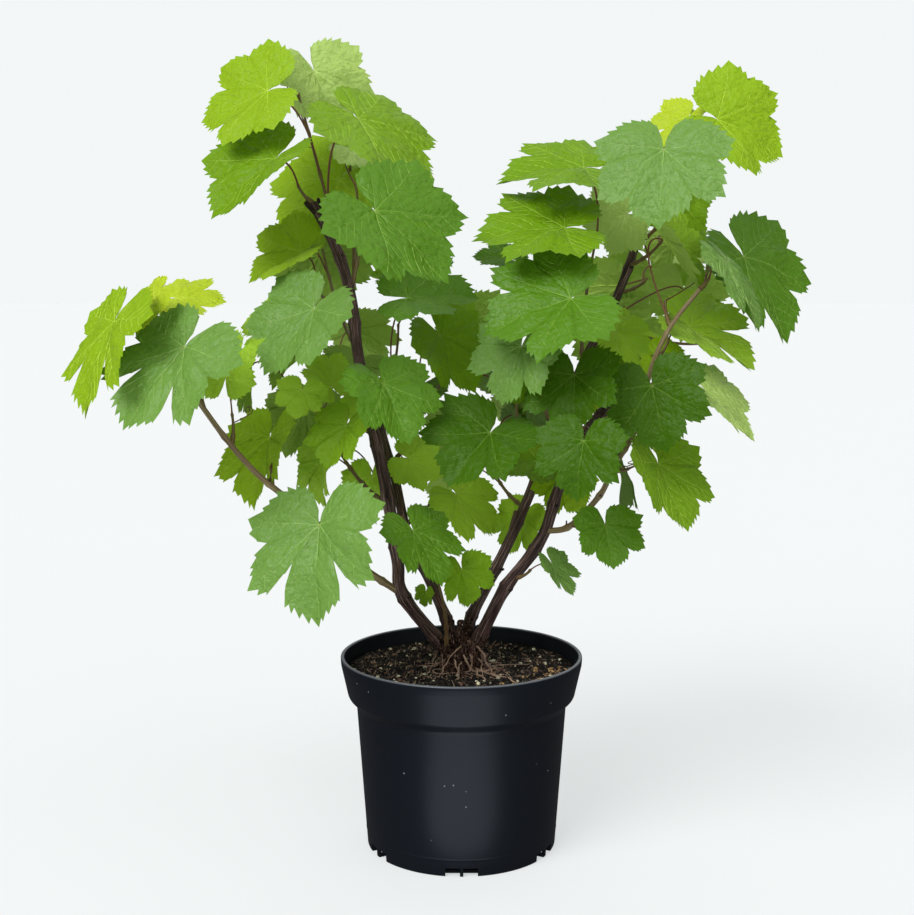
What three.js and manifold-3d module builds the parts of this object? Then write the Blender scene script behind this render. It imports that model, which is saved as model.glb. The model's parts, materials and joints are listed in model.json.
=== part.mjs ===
/*
 * A young grapevine growing in a round nursery pot. Millimetres, +Z up.
 *
 * The origin is the middle of the pot's flat underside. The -Y side is the front of the plant.
 * A short stump carries four woody canes. Two thinner side shoots leave the front canes.
 * Every other shoot is one node with its own leaves: a green stem that springs from a limb,
 * petioles that leave it by turns, and five-lobed leaves. Leaves that give the plant its outline
 * are set by hand. The rest grow by a seeded rule, and one that finds no room is skipped.
 */
import * as THREE from "three";
import { mergeVertices } from "three/addons/utils/BufferGeometryUtils.js";
import Module from "manifold-3d";

const wasm = await Module();
wasm.setup();

// ------------------------------------------------------------------ driving dimensions
const GAP = 0.3; // clearance kept between neighbouring solids

const POT = {
  height: 180,
  rimRadius: 112.5,
  bandRadius: 105.7, // where the band under the rim ends
  bandDrop: 37,
  shoulderRadius: 98, // where the wall starts, under the band's chamfer
  shoulderDrop: 45,
  footRadius: 88.5,
  wall: 2.6,
  floor: 3,
  lip: 3.4,
  lipRound: 1,
  segments: 36,
};
const SLOTS = { around: 6, width: 13, divider: 3, height: 8, depth: 9 }; // drainage, in pairs

const SOIL = { level: 166, flatRadius: 46, segments: 24, bump: 2.2 };

const STUMP = { footRadius: 27, waistRadius: 21, topRadius: 15, height: 40, sides: 16 };
const FLARE = { reach: 7, lobes: 5, fade: 9 }; // how the stump spreads into root lobes at its foot

const CANE_SIDES = 8;
const CANE_SWELL = 0.12; // how far a node stands out of its cane, as a share of the radius

const STEM = { foot: 2.8, tip: 1.7, sides: 3, steps: 4, bare: 0.45, sag: 0.12, kick: 0.15 };
const PETIOLE = { foot: 1.4, tip: 0.7, sides: 3, steps: 2, sunk: 4 };
const LEAF = { thickness: 1.5, sampleStep: 8, fold: [0.02, 0.26], droop: [0.06, 0.24] };

// room that a blade, a stem and a petiole keep round their middle when the leaves are laid out
const ROOM = { blade: 4.5, stem: 2.6, petiole: 1.8, limb: 1.2, own: 0.65, steps: 20, foot: 0.1, collar: 16 };
const SHIFTS = [0, -8, 8, -16, 16, -25, 25, -35, 35, 45, 55]; // how a set leaf may be drawn forward or back
const TIPS = [0, -12, 12, -24]; // and how its tilt may change
const TRIES = 80; // chances that a grown leaf gets

// half of a leaf's outline: degrees from the midrib, and reach as a share of the leaf's size,
// which is the length from the petiole to the tip
const OUTLINE = [
  [0, 1],
  [28, 0.68],
  [50, 0.97],
  [72, 0.74],
  [95, 0.78],
  [130, 0.58],
  [165, 0.32],
];
const HUBS = [0, 1, 3, 6]; // the outline points that the facets join to the petiole's end

// the woody limbs: route, and radius at foot and tip
const LIMBS = {
  left_front: {
    on: "stump",
    radius: [7, 5.2],
    route: [
      [-12, -4, 180], [-23, -8, 196], [-54, -25, 242], [-58, -28, 274], [-66, -30, 329], [-75, -30, 375],
      [-85, -28, 420], [-93, -25, 464], [-98, -22, 508], [-110, -18, 550], [-132, -14, 594],
    ],
  },
  left_rear: {
    on: "stump",
    radius: [6.2, 4.6],
    route: [
      [-7, 8, 188], [-13, 11, 207], [-30, 22, 245], [-52, 32, 289], [-57, 36, 310],
      [-65, 44, 348], [-71, 48, 365], [-82, 55, 404],
    ],
  },
  right_rear: {
    on: "stump",
    radius: [6.2, 4.6],
    route: [
      [6, 9, 190], [9, 13, 211], [28, 26, 246], [49, 40, 286], [64, 48, 320], [74, 54, 343],
      [95, 60, 394], [118, 62, 451], [141, 62, 495], [157, 62, 534], [167, 62, 566],
    ],
  },
  right_front: {
    on: "stump",
    radius: [7, 4.8],
    route: [
      [10, -6, 180], [17, -9, 197], [36, -22, 240], [47, -26, 258], [63, -32, 280], [75, -36, 302],
      [81, -38, 322], [88, -40, 345], [107, -44, 388], [120, -46, 405], [140, -48, 427],
    ],
  },
  left_lateral: {
    on: "left_front",
    radius: [3.8, 2.6],
    route: [
      [-54, -25, 242], [-89, -40, 270], [-122, -50, 305], [-152, -60, 334],
      [-180, -68, 360], [-204, -74, 390], [-228, -80, 426],
    ],
  },
  right_shoot: {
    on: "right_front",
    radius: [3.2, 2.1],
    route: [
      [75, -36, 302], [96, -50, 309], [122, -56, 338], [132, -60, 361],
      [153, -62, 400], [164, -64, 450], [180, -66, 486], [204, -68, 518],
    ],
  },
};

// the space that grown leaves keep to: three ellipsoids, each as centre and half widths
const CROWN = [
  { centre: [-110, 60, 500], half: [125, 165, 195] },
  { centre: [140, 65, 470], half: [140, 160, 180] },
  { centre: [10, 70, 410], half: [185, 150, 135] },
];

// A set leaf: its petiole's end, its size, the way its face looks (degrees round from the front,
// and up from level), and how far its tip is rolled from hanging straight down.
const leaf = (x, y, z, size, face, tilt, roll) => ({ at: [x, y, z], size, face, tilt, roll });

// A shoot: its name, the limb it springs from, the place on that limb counted in route points,
// where its stem ends, its set leaves from foot to tip, and how many more grow by rule.
const shoot = (name, on, from, end, leaves, grown = 0) => ({ name, on, from, end, leaves, grown });

const SHOOTS = [
  shoot("far_left", "left_lateral", 5.7, [-258, -60, 498], [
    leaf(-230, -105, 470, 85, -30, 40, -20),
    leaf(-294, -70, 490, 84, -55, 32, 0),
    leaf(-255, -72, 510, 44, -10, 60, 100),
    leaf(-262, -52, 512, 42, -50, 55, -30),
  ]),
  shoot("lateral_back", "left_lateral", 4.8, [-200, -62, 410], [leaf(-205, -60, 441, 45, -30, 12, 180)], 1),
  shoot("lateral_mid", "left_lateral", 3.5, [-168, -56, 362], [leaf(-174, -22, 384, 67, -50, 28, 5)], 1),
  shoot("low_left", "left_lateral", 2.2, [-125, -80, 316], [leaf(-120, -110, 320, 84, -35, 28, 12)]),
  shoot("left_inner", "left_front", 3.9, [-124, -22, 412], [
    leaf(-125, -15, 365, 46, -60, 10, 0),
    leaf(-100, -65, 400, 43, -40, 30, -10),
    leaf(-140, -25, 430, 28, 0, 25, -10),
    leaf(-120, 5, 430, 36, 40, 25, -160),
  ]),
  shoot("left_shoulder", "left_front", 7.7, [-128, -45, 520], [
    leaf(-125, -90, 501, 70, -38, 38, -20),
    leaf(-142, -25, 550, 55, -30, 50, -55),
  ]),
  shoot("top_left", "left_front", 8.5, [-146, 6, 690], [
    leaf(-90, -30, 665, 87, 45, 50, 30),
    leaf(-170, -15, 690, 69, -22, 35, -70),
    leaf(-165, 5, 712, 22, 40, 60, -140),
    leaf(-135, 10, 716, 60, 30, 20, 20),
  ]),
  shoot("left_tip", "left_front", 10, [-144, -24, 608], [leaf(-160, -50, 629, 76, -40, 45, -30)]),
  shoot("upper_left", "left_front", 8.2, [-96, 12, 612], [
    leaf(-70, -105, 580, 83, 32, 38, 35),
    leaf(-115, 50, 620, 82, -30, 45, -40),
    leaf(-100, 40, 648, 50, 25, 50, 60),
  ], 1),
  shoot("left_rear_top", "left_rear", 7, [-60, 58, 485], [
    leaf(-50, 25, 510, 66, -15, 55, 105),
    leaf(-55, 65, 522, 38, 40, 60, -135),
  ], 1),
  shoot("left_rear_mid", "left_rear", 5.2, [-42, 56, 415], [
    leaf(-50, 30, 362, 38, 15, 40, 65),
    leaf(-20, 50, 475, 64, 40, 30, 25),
  ], 1),
  shoot("left_centre", "left_front", 6.2, [-74, -62, 438], [leaf(-66, -105, 439, 56, 35, 38, 10)]),
  shoot("centre_left", "right_rear", 4.6, [50, 0, 420], [
    leaf(70, 0, 362, 49, 15, 65, -110),
    leaf(24, -88, 396, 62, -10, 45, -30),
    leaf(50, -80, 470, 52, -30, 20, -15),
  ]),
  shoot("low_centre", "left_front", 3.6, [-52, -52, 318], [leaf(-42, -80, 310, 54, 50, 42, 5)]),
  shoot("basal", "stump", 1, [-22, -36, 258], [
    leaf(-33, -14, 240, 15, -40, 10, -5),
    leaf(0, -58, 270, 35, 30, 15, 10),
  ]),
  shoot("low_back", "left_rear", 3.3, [-30, 42, 315], [leaf(-5, 40, 325, 54, 35, 40, 40)]),
  shoot("left_gap", "left_rear", 4.2, [-78, 55, 335], [leaf(-85, 65, 340, 44, -50, 10, 5)], 1),
  shoot("top_right", "right_rear", 9.8, [218, -2, 640], [
    leaf(168, -80, 633, 71, -15, 28, 0),
    leaf(205, 0, 672, 38, -45, 40, -20),
    leaf(225, -20, 666, 69, 15, 30, 65),
    leaf(222, 6, 668, 27, 70, 30, 175),
  ], 1),
  shoot("right_shoulder", "right_rear", 9.2, [188, 5, 572], [
    leaf(150, -40, 586, 44, 20, 28, -75),
    leaf(205, 30, 600, 42, -40, 15, -5),
  ], 1),
  shoot("right_end", "right_shoot", 7, [212, -66, 527], [
    leaf(255, 0, 547, 87, 40, 32, 22),
    leaf(222, -64, 540, 63, 65, 40, 5),
  ]),
  shoot("right_high", "right_shoot", 6, [178, -46, 508], [
    leaf(176, -20, 562, 58, 65, 60, 20),
    leaf(218, 15, 550, 24, -20, 50, -65),
  ]),
  shoot("right_mid", "right_shoot", 5.1, [180, -54, 474], [
    leaf(175, -25, 458, 30, 15, 30, 55),
    leaf(204, -52, 484, 70, 35, 55, 40),
  ]),
  shoot("right_drop", "right_shoot", 4.2, [182, -74, 428], [
    leaf(160, -98, 437, 58, -15, 15, 15),
    leaf(212, -62, 430, 61, 55, 50, 20),
  ]),
  shoot("right_low", "right_shoot", 3, [146, -62, 362], [leaf(171, -60, 367, 65, 50, 32, -2)]),
  shoot("right_foot", "right_shoot", 1.1, [112, -62, 314], [leaf(125, -72, 314, 41, 18, 32, 0)]),
  shoot("right_front_tip", "right_front", 9.6, [122, -66, 436], [
    leaf(128, -18, 412, 46, 50, 35, 15),
    leaf(95, -98, 446, 54, -25, 30, 8),
  ]),
  shoot("right_front_mid", "right_front", 8, [104, -78, 400], [leaf(99, -108, 395, 49, -25, 22, -3)]),
  shoot("right_front_back", "right_front", 6.6, [96, -12, 342], [leaf(92, 4, 348, 42, 20, 20, 30)]),
  shoot("right_front_low", "right_front", 3, [62, -38, 267], [leaf(80, -40, 276, 34, 60, 40, 5)]),
  shoot("centre_high", "right_rear", 6.9, [122, 0, 566], [
    leaf(90, -108, 510, 78, -10, 45, -65),
    leaf(88, -58, 570, 80, 0, 60, -90),
    leaf(107, -22, 624, 76, 8, 65, -95),
  ], 1),
  shoot("centre_back", "right_rear", 7.5, [152, 34, 502], [
    leaf(140, 22, 480, 44, 25, 45, 55),
  ], 2),
  shoot("centre_rear_low", "right_rear", 2.8, [52, 60, 305], [leaf(60, 68, 300, 42, -40, 30, -15)]),
  shoot("centre_gap", "right_rear", 5.8, [60, 20, 500], [
    leaf(65, -38, 440, 32, -25, 40, -45),
    leaf(45, 20, 545, 36, 20, 60, -120),
  ]),
  shoot("back_left_low", "left_rear", 3.6, [-92, 118, 335], [], 3),
  shoot("back_left_mid", "left_rear", 6.1, [-128, 128, 440], [], 4),
  shoot("back_left_high", "left_front", 7, [-140, 108, 580], [], 4),
  shoot("back_left_top", "left_front", 8, [-108, 84, 652], [], 3),
  shoot("back_centre_low", "right_rear", 3.7, [28, 128, 352], [], 4),
  shoot("back_centre", "left_rear", 6.7, [0, 138, 450], [], 4),
  shoot("back_right_low", "right_rear", 4.5, [132, 118, 340], [], 3),
  shoot("back_right_mid", "right_rear", 6.4, [150, 145, 440], [], 4),
  shoot("back_right_high", "right_rear", 8.5, [198, 128, 545], [], 4),
  shoot("back_right_top", "right_rear", 9.9, [172, 105, 618], [], 3),
  shoot("side_right", "right_rear", 7.8, [245, 62, 470], [], 3),
  shoot("side_left", "left_front", 5.4, [-172, 62, 432], [], 3),
];

// -------------------------------------------------------------------------- materials
const finish = (color, roughness) => new THREE.MeshStandardMaterial({ color, roughness, metalness: 0 });
const MATERIALS = {
  pot: finish(0x1c1e22, 0.42),
  soil: finish(0x33261c, 0.95),
  bark: finish(0x4a3326, 0.85),
  shoot: finish(0x6f6a38, 0.7),
  leaves: finish(0x5f9a38, 0.55),
};

// ------------------------------------------------------------------- small mathematics
const rad = THREE.MathUtils.degToRad;
const vec = (p) => new THREE.Vector3(...p);
const mix = (a, b, t) => a + (b - a) * t;

/** A small seeded generator of numbers from 0 to 1 (mulberry32). */
function seeded(seed) {
  let state = seed;
  return () => {
    state = (state + 0x6d2b79f5) | 0;
    let t = Math.imul(state ^ (state >>> 15), 1 | state);
    t = (t + Math.imul(t ^ (t >>> 7), 61 | t)) ^ t;
    return ((t ^ (t >>> 14)) >>> 0) / 4294967296;
  };
}

/** The place on a limb's route that lies `from` route points along it. */
function along(route, from) {
  const curve = new THREE.CatmullRomCurve3(route.map(vec), false, "catmullrom", 0.5);
  return curve.getPoint(from / (route.length - 1));
}

/** The direction in which a limb runs at that place. */
function limbWay(route, from) {
  const before = along(route, Math.max(from - 0.1, 0));
  return along(route, Math.min(from + 0.1, route.length - 1)).sub(before).normalize();
}

/** A point of the curve with the control point `bend` between `foot` and `tip`. */
function bow(foot, bend, tip, t) {
  const a = foot.clone().multiplyScalar((1 - t) * (1 - t));
  const b = bend.clone().multiplyScalar(2 * t * (1 - t));
  return a.add(b).add(tip.clone().multiplyScalar(t * t));
}

// --------------------------------------------------------------- geometry and Booleans
/** A closed geometry's triangles, with shared corners merged and none without area. */
function solid(geometry) {
  const bare = geometry.clone();
  bare.deleteAttribute("normal");
  bare.deleteAttribute("uv");
  const merged = mergeVertices(bare, 1e-4);
  const index = merged.index.array;
  const kept = [];
  for (let i = 0; i < index.length; i += 3) {
    const [a, b, c] = [index[i], index[i + 1], index[i + 2]];
    if (a !== b && b !== c && c !== a) kept.push(a, b, c);
  }
  const mesh = new wasm.Mesh({
    numProp: 3,
    vertProperties: new Float32Array(merged.attributes.position.array),
    triVerts: new Uint32Array(kept),
  });
  return new wasm.Manifold(mesh);
}

/** A named mesh made of a Manifold solid. */
function piece(name, body, material) {
  const { vertProperties, triVerts } = body.getMesh();
  const geometry = new THREE.BufferGeometry();
  geometry.setAttribute("position", new THREE.BufferAttribute(new Float32Array(vertProperties), 3));
  geometry.setIndex(new THREE.BufferAttribute(new Uint32Array(triVerts), 1));
  geometry.computeVertexNormals();
  const mesh = new THREE.Mesh(geometry, material);
  mesh.name = name;
  return mesh;
}

/** A Lathe turned about Z from a profile of [radius, height] pairs, listed from the top down the inside. */
function turned(profile, segments) {
  const points = profile.map(([radius, height]) => new THREE.Vector2(radius, height));
  return new THREE.LatheGeometry(points, segments).rotateX(Math.PI / 2);
}

/** A closed geometry from points and triangles. */
function faceted(points, faces) {
  const geometry = new THREE.BufferGeometry();
  const places = points.flatMap((p) => [p.x, p.y, p.z]);
  geometry.setAttribute("position", new THREE.Float32BufferAttribute(places, 3));
  geometry.setIndex(faces.flat());
  return geometry;
}

/** A tapering limb with round sections of `sides` corners, closed at both ends. */
function limbGeometry(points, radii, sides) {
  const last = points.length - 1;
  const ring = [];
  const tangent = (i) => points[Math.min(i + 1, last)].clone().sub(points[Math.max(i - 1, 0)]).normalize();
  let normal = new THREE.Vector3(0, 1, 0).cross(tangent(0)).normalize();
  const faces = [];
  for (let i = 0; i <= last; i++) {
    const t = tangent(i);
    normal = normal.sub(t.clone().multiplyScalar(normal.dot(t))).normalize();
    const across = t.clone().cross(normal);
    for (let k = 0; k < sides; k++) {
      const angle = (2 * Math.PI * k) / sides;
      const out = normal.clone().multiplyScalar(Math.cos(angle)).addScaledVector(across, Math.sin(angle));
      ring.push(points[i].clone().addScaledVector(out, radii[i]));
    }
  }
  const end = last * sides;
  for (let k = 2; k < sides; k++) faces.push([0, k, k - 1], [end, end + k - 1, end + k]);
  for (let k = 0; k < sides; k++) {
    const next = (k + 1) % sides;
    for (let i = 0; i < last; i++) {
      const [a, b] = [i * sides + k, i * sides + next];
      faces.push([a, b, b + sides], [a, b + sides, a + sides]);
    }
  }
  return faceted(ring, faces);
}

// --------------------------------------------------------------------- pot, soil, stump
const wallRadius = (z) => mix(POT.footRadius, POT.shoulderRadius, z / (POT.height - POT.shoulderDrop));

function potSolid() {
  const { height, rimRadius, bandRadius, bandDrop, shoulderRadius, shoulderDrop } = POT;
  const { footRadius, wall, floor, lip, lipRound } = POT;
  const profile = [
    [0, 0],
    [footRadius, 0],
    [shoulderRadius, height - shoulderDrop],
    [bandRadius, height - bandDrop],
    [rimRadius, height - lip],
    [rimRadius, height - lipRound],
    [rimRadius - lipRound, height],
    [rimRadius - lip, height],
    [bandRadius - wall, height - bandDrop + 1],
    [shoulderRadius - wall, height - shoulderDrop - 1],
    [footRadius - wall, floor],
    [0, floor],
  ];
  let body = solid(turned(profile, POT.segments));
  for (let i = 0; i < SLOTS.around * 2; i++) {
    const side = (i % 2) * 2 - 1;
    const slot = new THREE.BoxGeometry(SLOTS.width, 4 * SLOTS.depth, 2 * SLOTS.height);
    slot.translate((side * (SLOTS.width + SLOTS.divider)) / 2, -(POT.footRadius + SLOTS.depth), 0);
    slot.rotateZ((2 * Math.PI * Math.floor(i / 2)) / SLOTS.around);
    body = body.subtract(solid(slot));
  }
  return body;
}

/** The pot's filling: flat under the stump, uneven towards the wall. */
function soilSolid() {
  const inner = (z) => wallRadius(z) - POT.wall - 2 * GAP;
  const shoulder = POT.height - POT.shoulderDrop - 1;
  const upBand = (SOIL.level - POT.height + POT.bandDrop) / POT.bandDrop;
  const bandInner = mix(POT.bandRadius, POT.rimRadius, upBand) - POT.lip - 2;
  const profile = [
    [0, POT.floor + GAP],
    [inner(POT.floor), POT.floor + GAP],
    [inner(shoulder), shoulder],
    [POT.bandRadius - POT.wall - 4 * GAP, POT.height - POT.bandDrop + 2],
    [bandInner, SOIL.level - 1],
    [84, SOIL.level],
    [66, SOIL.level],
    [SOIL.flatRadius, SOIL.level],
    [0, SOIL.level],
  ];
  const geometry = turned(profile, SOIL.segments);
  const place = geometry.attributes.position;
  for (let i = 0; i < place.count; i++) {
    const [x, y, z] = [place.getX(i), place.getY(i), place.getZ(i)];
    const radius = Math.hypot(x, y);
    if (z < SOIL.level - 2 || radius < SOIL.flatRadius + 1) continue;
    const angle = Math.atan2(y, x);
    const wave = Math.sin(3 * angle + radius / 9) + Math.sin(5 * angle - radius / 7) + Math.cos(2 * angle);
    place.setZ(i, z + (SOIL.bump * wave) / 2);
  }
  return solid(geometry);
}

const stumpFoot = SOIL.level + GAP;

/** The old wood that the canes leave, with its root flare, cut flat where it meets the soil. */
function stumpSolid(extra = 0) {
  const { footRadius, waistRadius, topRadius, height, sides } = STUMP;
  const side = [
    [footRadius, 0],
    [footRadius - 2, 4],
    [waistRadius + 2, 11],
    [waistRadius, 20],
    [waistRadius - 2, 29],
    [topRadius, 36],
    [topRadius - 7, height],
  ];
  const profile = [[0, 0], ...side.map(([r, h]) => [r + extra, h]), [0, height + extra]];
  const geometry = turned(profile, sides);
  const place = geometry.attributes.position;
  for (let i = 0; i < place.count; i++) {
    const [x, y, z] = [place.getX(i), place.getY(i), place.getZ(i)];
    const lobe = Math.cos(FLARE.lobes * Math.atan2(y, x) + 1.1);
    const spread = 1 + (FLARE.reach / footRadius) * lobe * Math.exp(-z / FLARE.fade);
    place.setXYZ(i, x * spread, y * spread, z + stumpFoot);
  }
  let body = solid(geometry);
  const stubs = [[-3, -14, 26], [6, -8, 30], [-9, 2, 22], [3, 6, 27]];
  for (const [x, y, rise] of stubs) {
    const foot = new THREE.Vector3(x * 0.6, y * 0.6, stumpFoot + 20);
    const tip = new THREE.Vector3(x, y, stumpFoot + 22 + rise);
    body = body.add(solid(limbGeometry([foot, tip], [5 + extra, 3.4 + extra], 6)));
  }
  return body;
}

// ------------------------------------------------------------------------------- limbs
/** Middle points and radii along a limb, two steps to each stretch of its route. */
function limbLine(limb, extra = 0) {
  const steps = 2 * (limb.route.length - 1);
  const points = [];
  const radii = [];
  for (let i = 0; i <= steps; i++) {
    points.push(along(limb.route, i / 2));
    const swell = i % 2 === 0 ? 1 + CANE_SWELL : 1;
    radii.push(mix(...limb.radius, i / steps) * swell + extra);
  }
  return { points, radii };
}

const limbSides = (limb) => (limb.on === "stump" ? CANE_SIDES : 6);

function limbBody(limb, extra = 0) {
  const { points, radii } = limbLine(limb, extra);
  return solid(limbGeometry(points, radii, limbSides(limb)));
}

// what a shoot or limb has to stay clear of where it springs from: its parent, a little fatter
const clearances = { stump: stumpSolid(GAP * 1.2) };
for (const [name, limb] of Object.entries(LIMBS)) clearances[name] = limbBody(limb, GAP * 1.15);

// ------------------------------------------------------------------------------ leaves
/** A leaf's reach at an angle from its midrib, as a share of its size. */
function reach(degrees) {
  const angle = Math.abs(degrees);
  const next = OUTLINE.findIndex(([a]) => a > angle);
  if (next < 0) return 0;
  const [[a0, r0], [a1, r1]] = [OUTLINE[next - 1], OUTLINE[next]];
  return mix(r0, r1, (angle - a0) / (a1 - a0));
}

/** The three directions of a blade: along the midrib, across it and out of its face. */
function bladeAxes({ face, tilt, roll }) {
  const [a, e, r] = [rad(face), rad(tilt), rad(roll)];
  const normal = new THREE.Vector3(Math.sin(a) * Math.cos(e), -Math.cos(a) * Math.cos(e), Math.sin(e));
  const right = new THREE.Vector3(Math.cos(a), Math.sin(a), 0);
  const down = new THREE.Vector3(0, 0, -1).addScaledVector(normal, Math.sin(e)).normalize();
  const midrib = down.multiplyScalar(Math.cos(r)).addScaledVector(right, Math.sin(r));
  return { midrib, across: normal.clone().cross(midrib), normal };
}

/** A point of the blade's middle surface: `u` along the midrib and `v` across it, in sizes. */
function bladePoint(blade, u, v) {
  const { midrib, across, normal } = blade.axes;
  const lift = blade.fold * Math.abs(v) - blade.droop * (u * u + v * v);
  return vec(blade.at)
    .addScaledVector(midrib, u * blade.size)
    .addScaledVector(across, v * blade.size)
    .addScaledVector(normal, lift * blade.size);
}

const outlineAngles = [...OUTLINE.slice(1).map(([a]) => -a).reverse(), ...OUTLINE.map(([a]) => a)];

function outlinePoint(blade, degrees) {
  const r = reach(Math.min(Math.abs(degrees), 164.99));
  return bladePoint(blade, r * Math.cos(rad(degrees)), r * Math.sin(rad(degrees)));
}

/** The blade as a thin plate: two faceted sides, joined round the edge. */
function bladeGeometry(blade) {
  const half = blade.axes.normal.clone().multiplyScalar(LEAF.thickness / 2);
  const rim = [vec(blade.at), ...outlineAngles.map((a) => outlinePoint(blade, a))];
  const count = rim.length;
  const points = [...rim.map((p) => p.clone().add(half)), ...rim.map((p) => p.clone().sub(half))];
  const faces = [];
  const flat = (a, b, c) => faces.push([a, b, c], [a + count, c + count, b + count]);
  for (let i = 0; i < count; i++) {
    const next = (i + 1) % count;
    faces.push([i, i + count, next + count], [i, next + count, next]);
  }
  const middle = OUTLINE.length;
  const hubs = [...HUBS.slice(1).reverse().map((h) => middle - h), ...HUBS.map((h) => middle + h)];
  for (let h = 1; h < hubs.length; h++) {
    flat(0, hubs[h - 1], hubs[h]);
    for (let k = hubs[h - 1] + 1; k < hubs[h]; k++) flat(hubs[h - 1], k, k + 1);
  }
  return faceted(points, faces);
}

/** Points spread evenly over a blade, for keeping it clear of everything else. */
function bladeSamples(blade) {
  const points = outlineAngles.map((a) => outlinePoint(blade, a));
  const cells = Math.floor(blade.size / LEAF.sampleStep);
  for (let i = -cells; i <= cells; i++) {
    for (let j = -cells; j <= cells; j++) {
      const [u, v] = [(i * LEAF.sampleStep) / blade.size, (j * LEAF.sampleStep) / blade.size];
      const angle = THREE.MathUtils.radToDeg(Math.atan2(v, u));
      if (Math.hypot(u, v) < reach(angle)) points.push(bladePoint(blade, u, v));
    }
  }
  return points;
}

/** The petiole's middle line, from its foot on the stem to the blade that it carries. */
function petioleLine(foot, blade, steps) {
  const tip = vec(blade.at);
  const length = tip.distanceTo(foot);
  const { midrib, normal } = blade.axes;
  const bend = tip.clone().addScaledVector(midrib, -0.3 * length).addScaledVector(normal, -0.25 * length);
  return Array.from({ length: steps + 1 }, (_, i) => bow(foot, bend, tip, i / steps));
}

// ------------------------------------------------------------------- laying out the room
const taken = []; // every laid-out thing: its points, the room each point needs, and its owner

function take(owner, points, room) {
  const box = new THREE.Box3().setFromPoints(points);
  taken.push({ owner, points, room, box });
}

/**
 * Whether all the points stay out of the room that others take. A shoot's own leaves may come
 * nearer to each other. `passed` tells which owners don't count.
 */
function isClear(owner, points, room, passed = () => false) {
  const box = new THREE.Box3().setFromPoints(points);
  for (const other of taken) {
    if (passed(other.owner)) continue;
    const apart = (room + other.room) * (other.owner.startsWith(owner) ? ROOM.own : 1);
    if (!box.clone().expandByScalar(apart).intersectsBox(other.box)) continue;
    for (const p of points) {
      for (const q of other.points) {
        if (p.distanceToSquared(q) < apart * apart) return false;
      }
    }
  }
  return true;
}

const inCrown = (p) =>
  CROWN.some(({ centre, half }) => {
    const [x, y, z] = [(p.x - centre[0]) / half[0], (p.y - centre[1]) / half[1], (p.z - centre[2]) / half[2]];
    return x * x + y * y + z * z < 1;
  });

/** Whether a leaf with its petiole has room, and if so, it takes that room. */
function settle(owner, foot, blade) {
  const samples = bladeSamples(blade);
  const line = petioleLine(foot, blade, ROOM.steps);
  const free = line.slice(Math.ceil(ROOM.foot * ROOM.steps));
  const tip = vec(blade.at);
  const outer = samples.filter((p) => p.distanceTo(tip) > ROOM.collar);
  if (!isClear(owner, outer, ROOM.blade)) return false;
  if (!isClear(owner, samples, ROOM.blade, (other) => other.startsWith(owner))) return false;
  if (!isClear(owner, free, ROOM.petiole, (other) => other === owner)) return false;
  take(owner + ".blade", samples, ROOM.blade);
  take(owner + ".petiole", free, ROOM.petiole);
  return true;
}

for (const [name, limb] of Object.entries(LIMBS)) {
  for (let i = 0; i < limb.route.length - 1; i++) {
    const dense = Array.from({ length: 9 }, (_, k) => along(limb.route, i + k / 8));
    take(name, dense, mix(...limb.radius, i / (limb.route.length - 1)) + ROOM.limb);
  }
}

const stumpPlace = [[0, 0, 170], [-14, -17, 190]];
const routeOf = (name) => (name === "stump" ? stumpPlace : LIMBS[name].route);

/** The middle line of a shoot's stem. */
function stemLine({ on, from, end }, steps) {
  const foot = along(routeOf(on), from);
  const tip = vec(end);
  const length = foot.distanceTo(tip);
  const away = tip.clone().sub(foot);
  const way = limbWay(routeOf(on), from);
  away.addScaledVector(way, -away.dot(way)).normalize();
  const bend = foot.clone().lerp(tip, 0.5).addScaledVector(away, STEM.kick * length);
  bend.z -= STEM.sag * length;
  return Array.from({ length: steps + 1 }, (_, i) => bow(foot, bend, tip, i / steps));
}

/** The place on a shoot's stem at a share of its length, on the straight facets of its solid. */
function stemPoint(row, share) {
  const line = stemLine(row, STEM.steps);
  const whole = Math.min(Math.floor(share * STEM.steps), STEM.steps - 1);
  return line[whole].clone().lerp(line[whole + 1], share * STEM.steps - whole);
}

for (const row of SHOOTS) take(row.name, stemLine(row, 50).slice(6), ROOM.stem);

/** The leaves of a shoot that are set by hand, before they are laid out. */
function plannedLeaves(row, random) {
  return row.leaves.map((given, i) => {
    const share = row.leaves.length > 1 ? i / (row.leaves.length - 1) : 1;
    const foot = stemPoint(row, mix(STEM.bare, 1, share));
    const [fold, droop] = [mix(...LEAF.fold, random()), mix(...LEAF.droop, random())];
    return { ...given, name: row.name, foot, fold, droop };
  });
}

/** A set leaf, drawn forward or back and tipped until it is clear, or none where that never happens. */
function setLeaf(planned) {
  for (const tip of TIPS) {
    for (const shift of SHIFTS) {
      const at = [planned.at[0], planned.at[1] + shift, planned.at[2]];
      const moved = { ...planned, at, tilt: planned.tilt + tip };
      const blade = { ...moved, axes: bladeAxes(moved) };
      if (settle(planned.name, planned.foot, blade)) return blade;
    }
  }
  return null;
}

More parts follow.
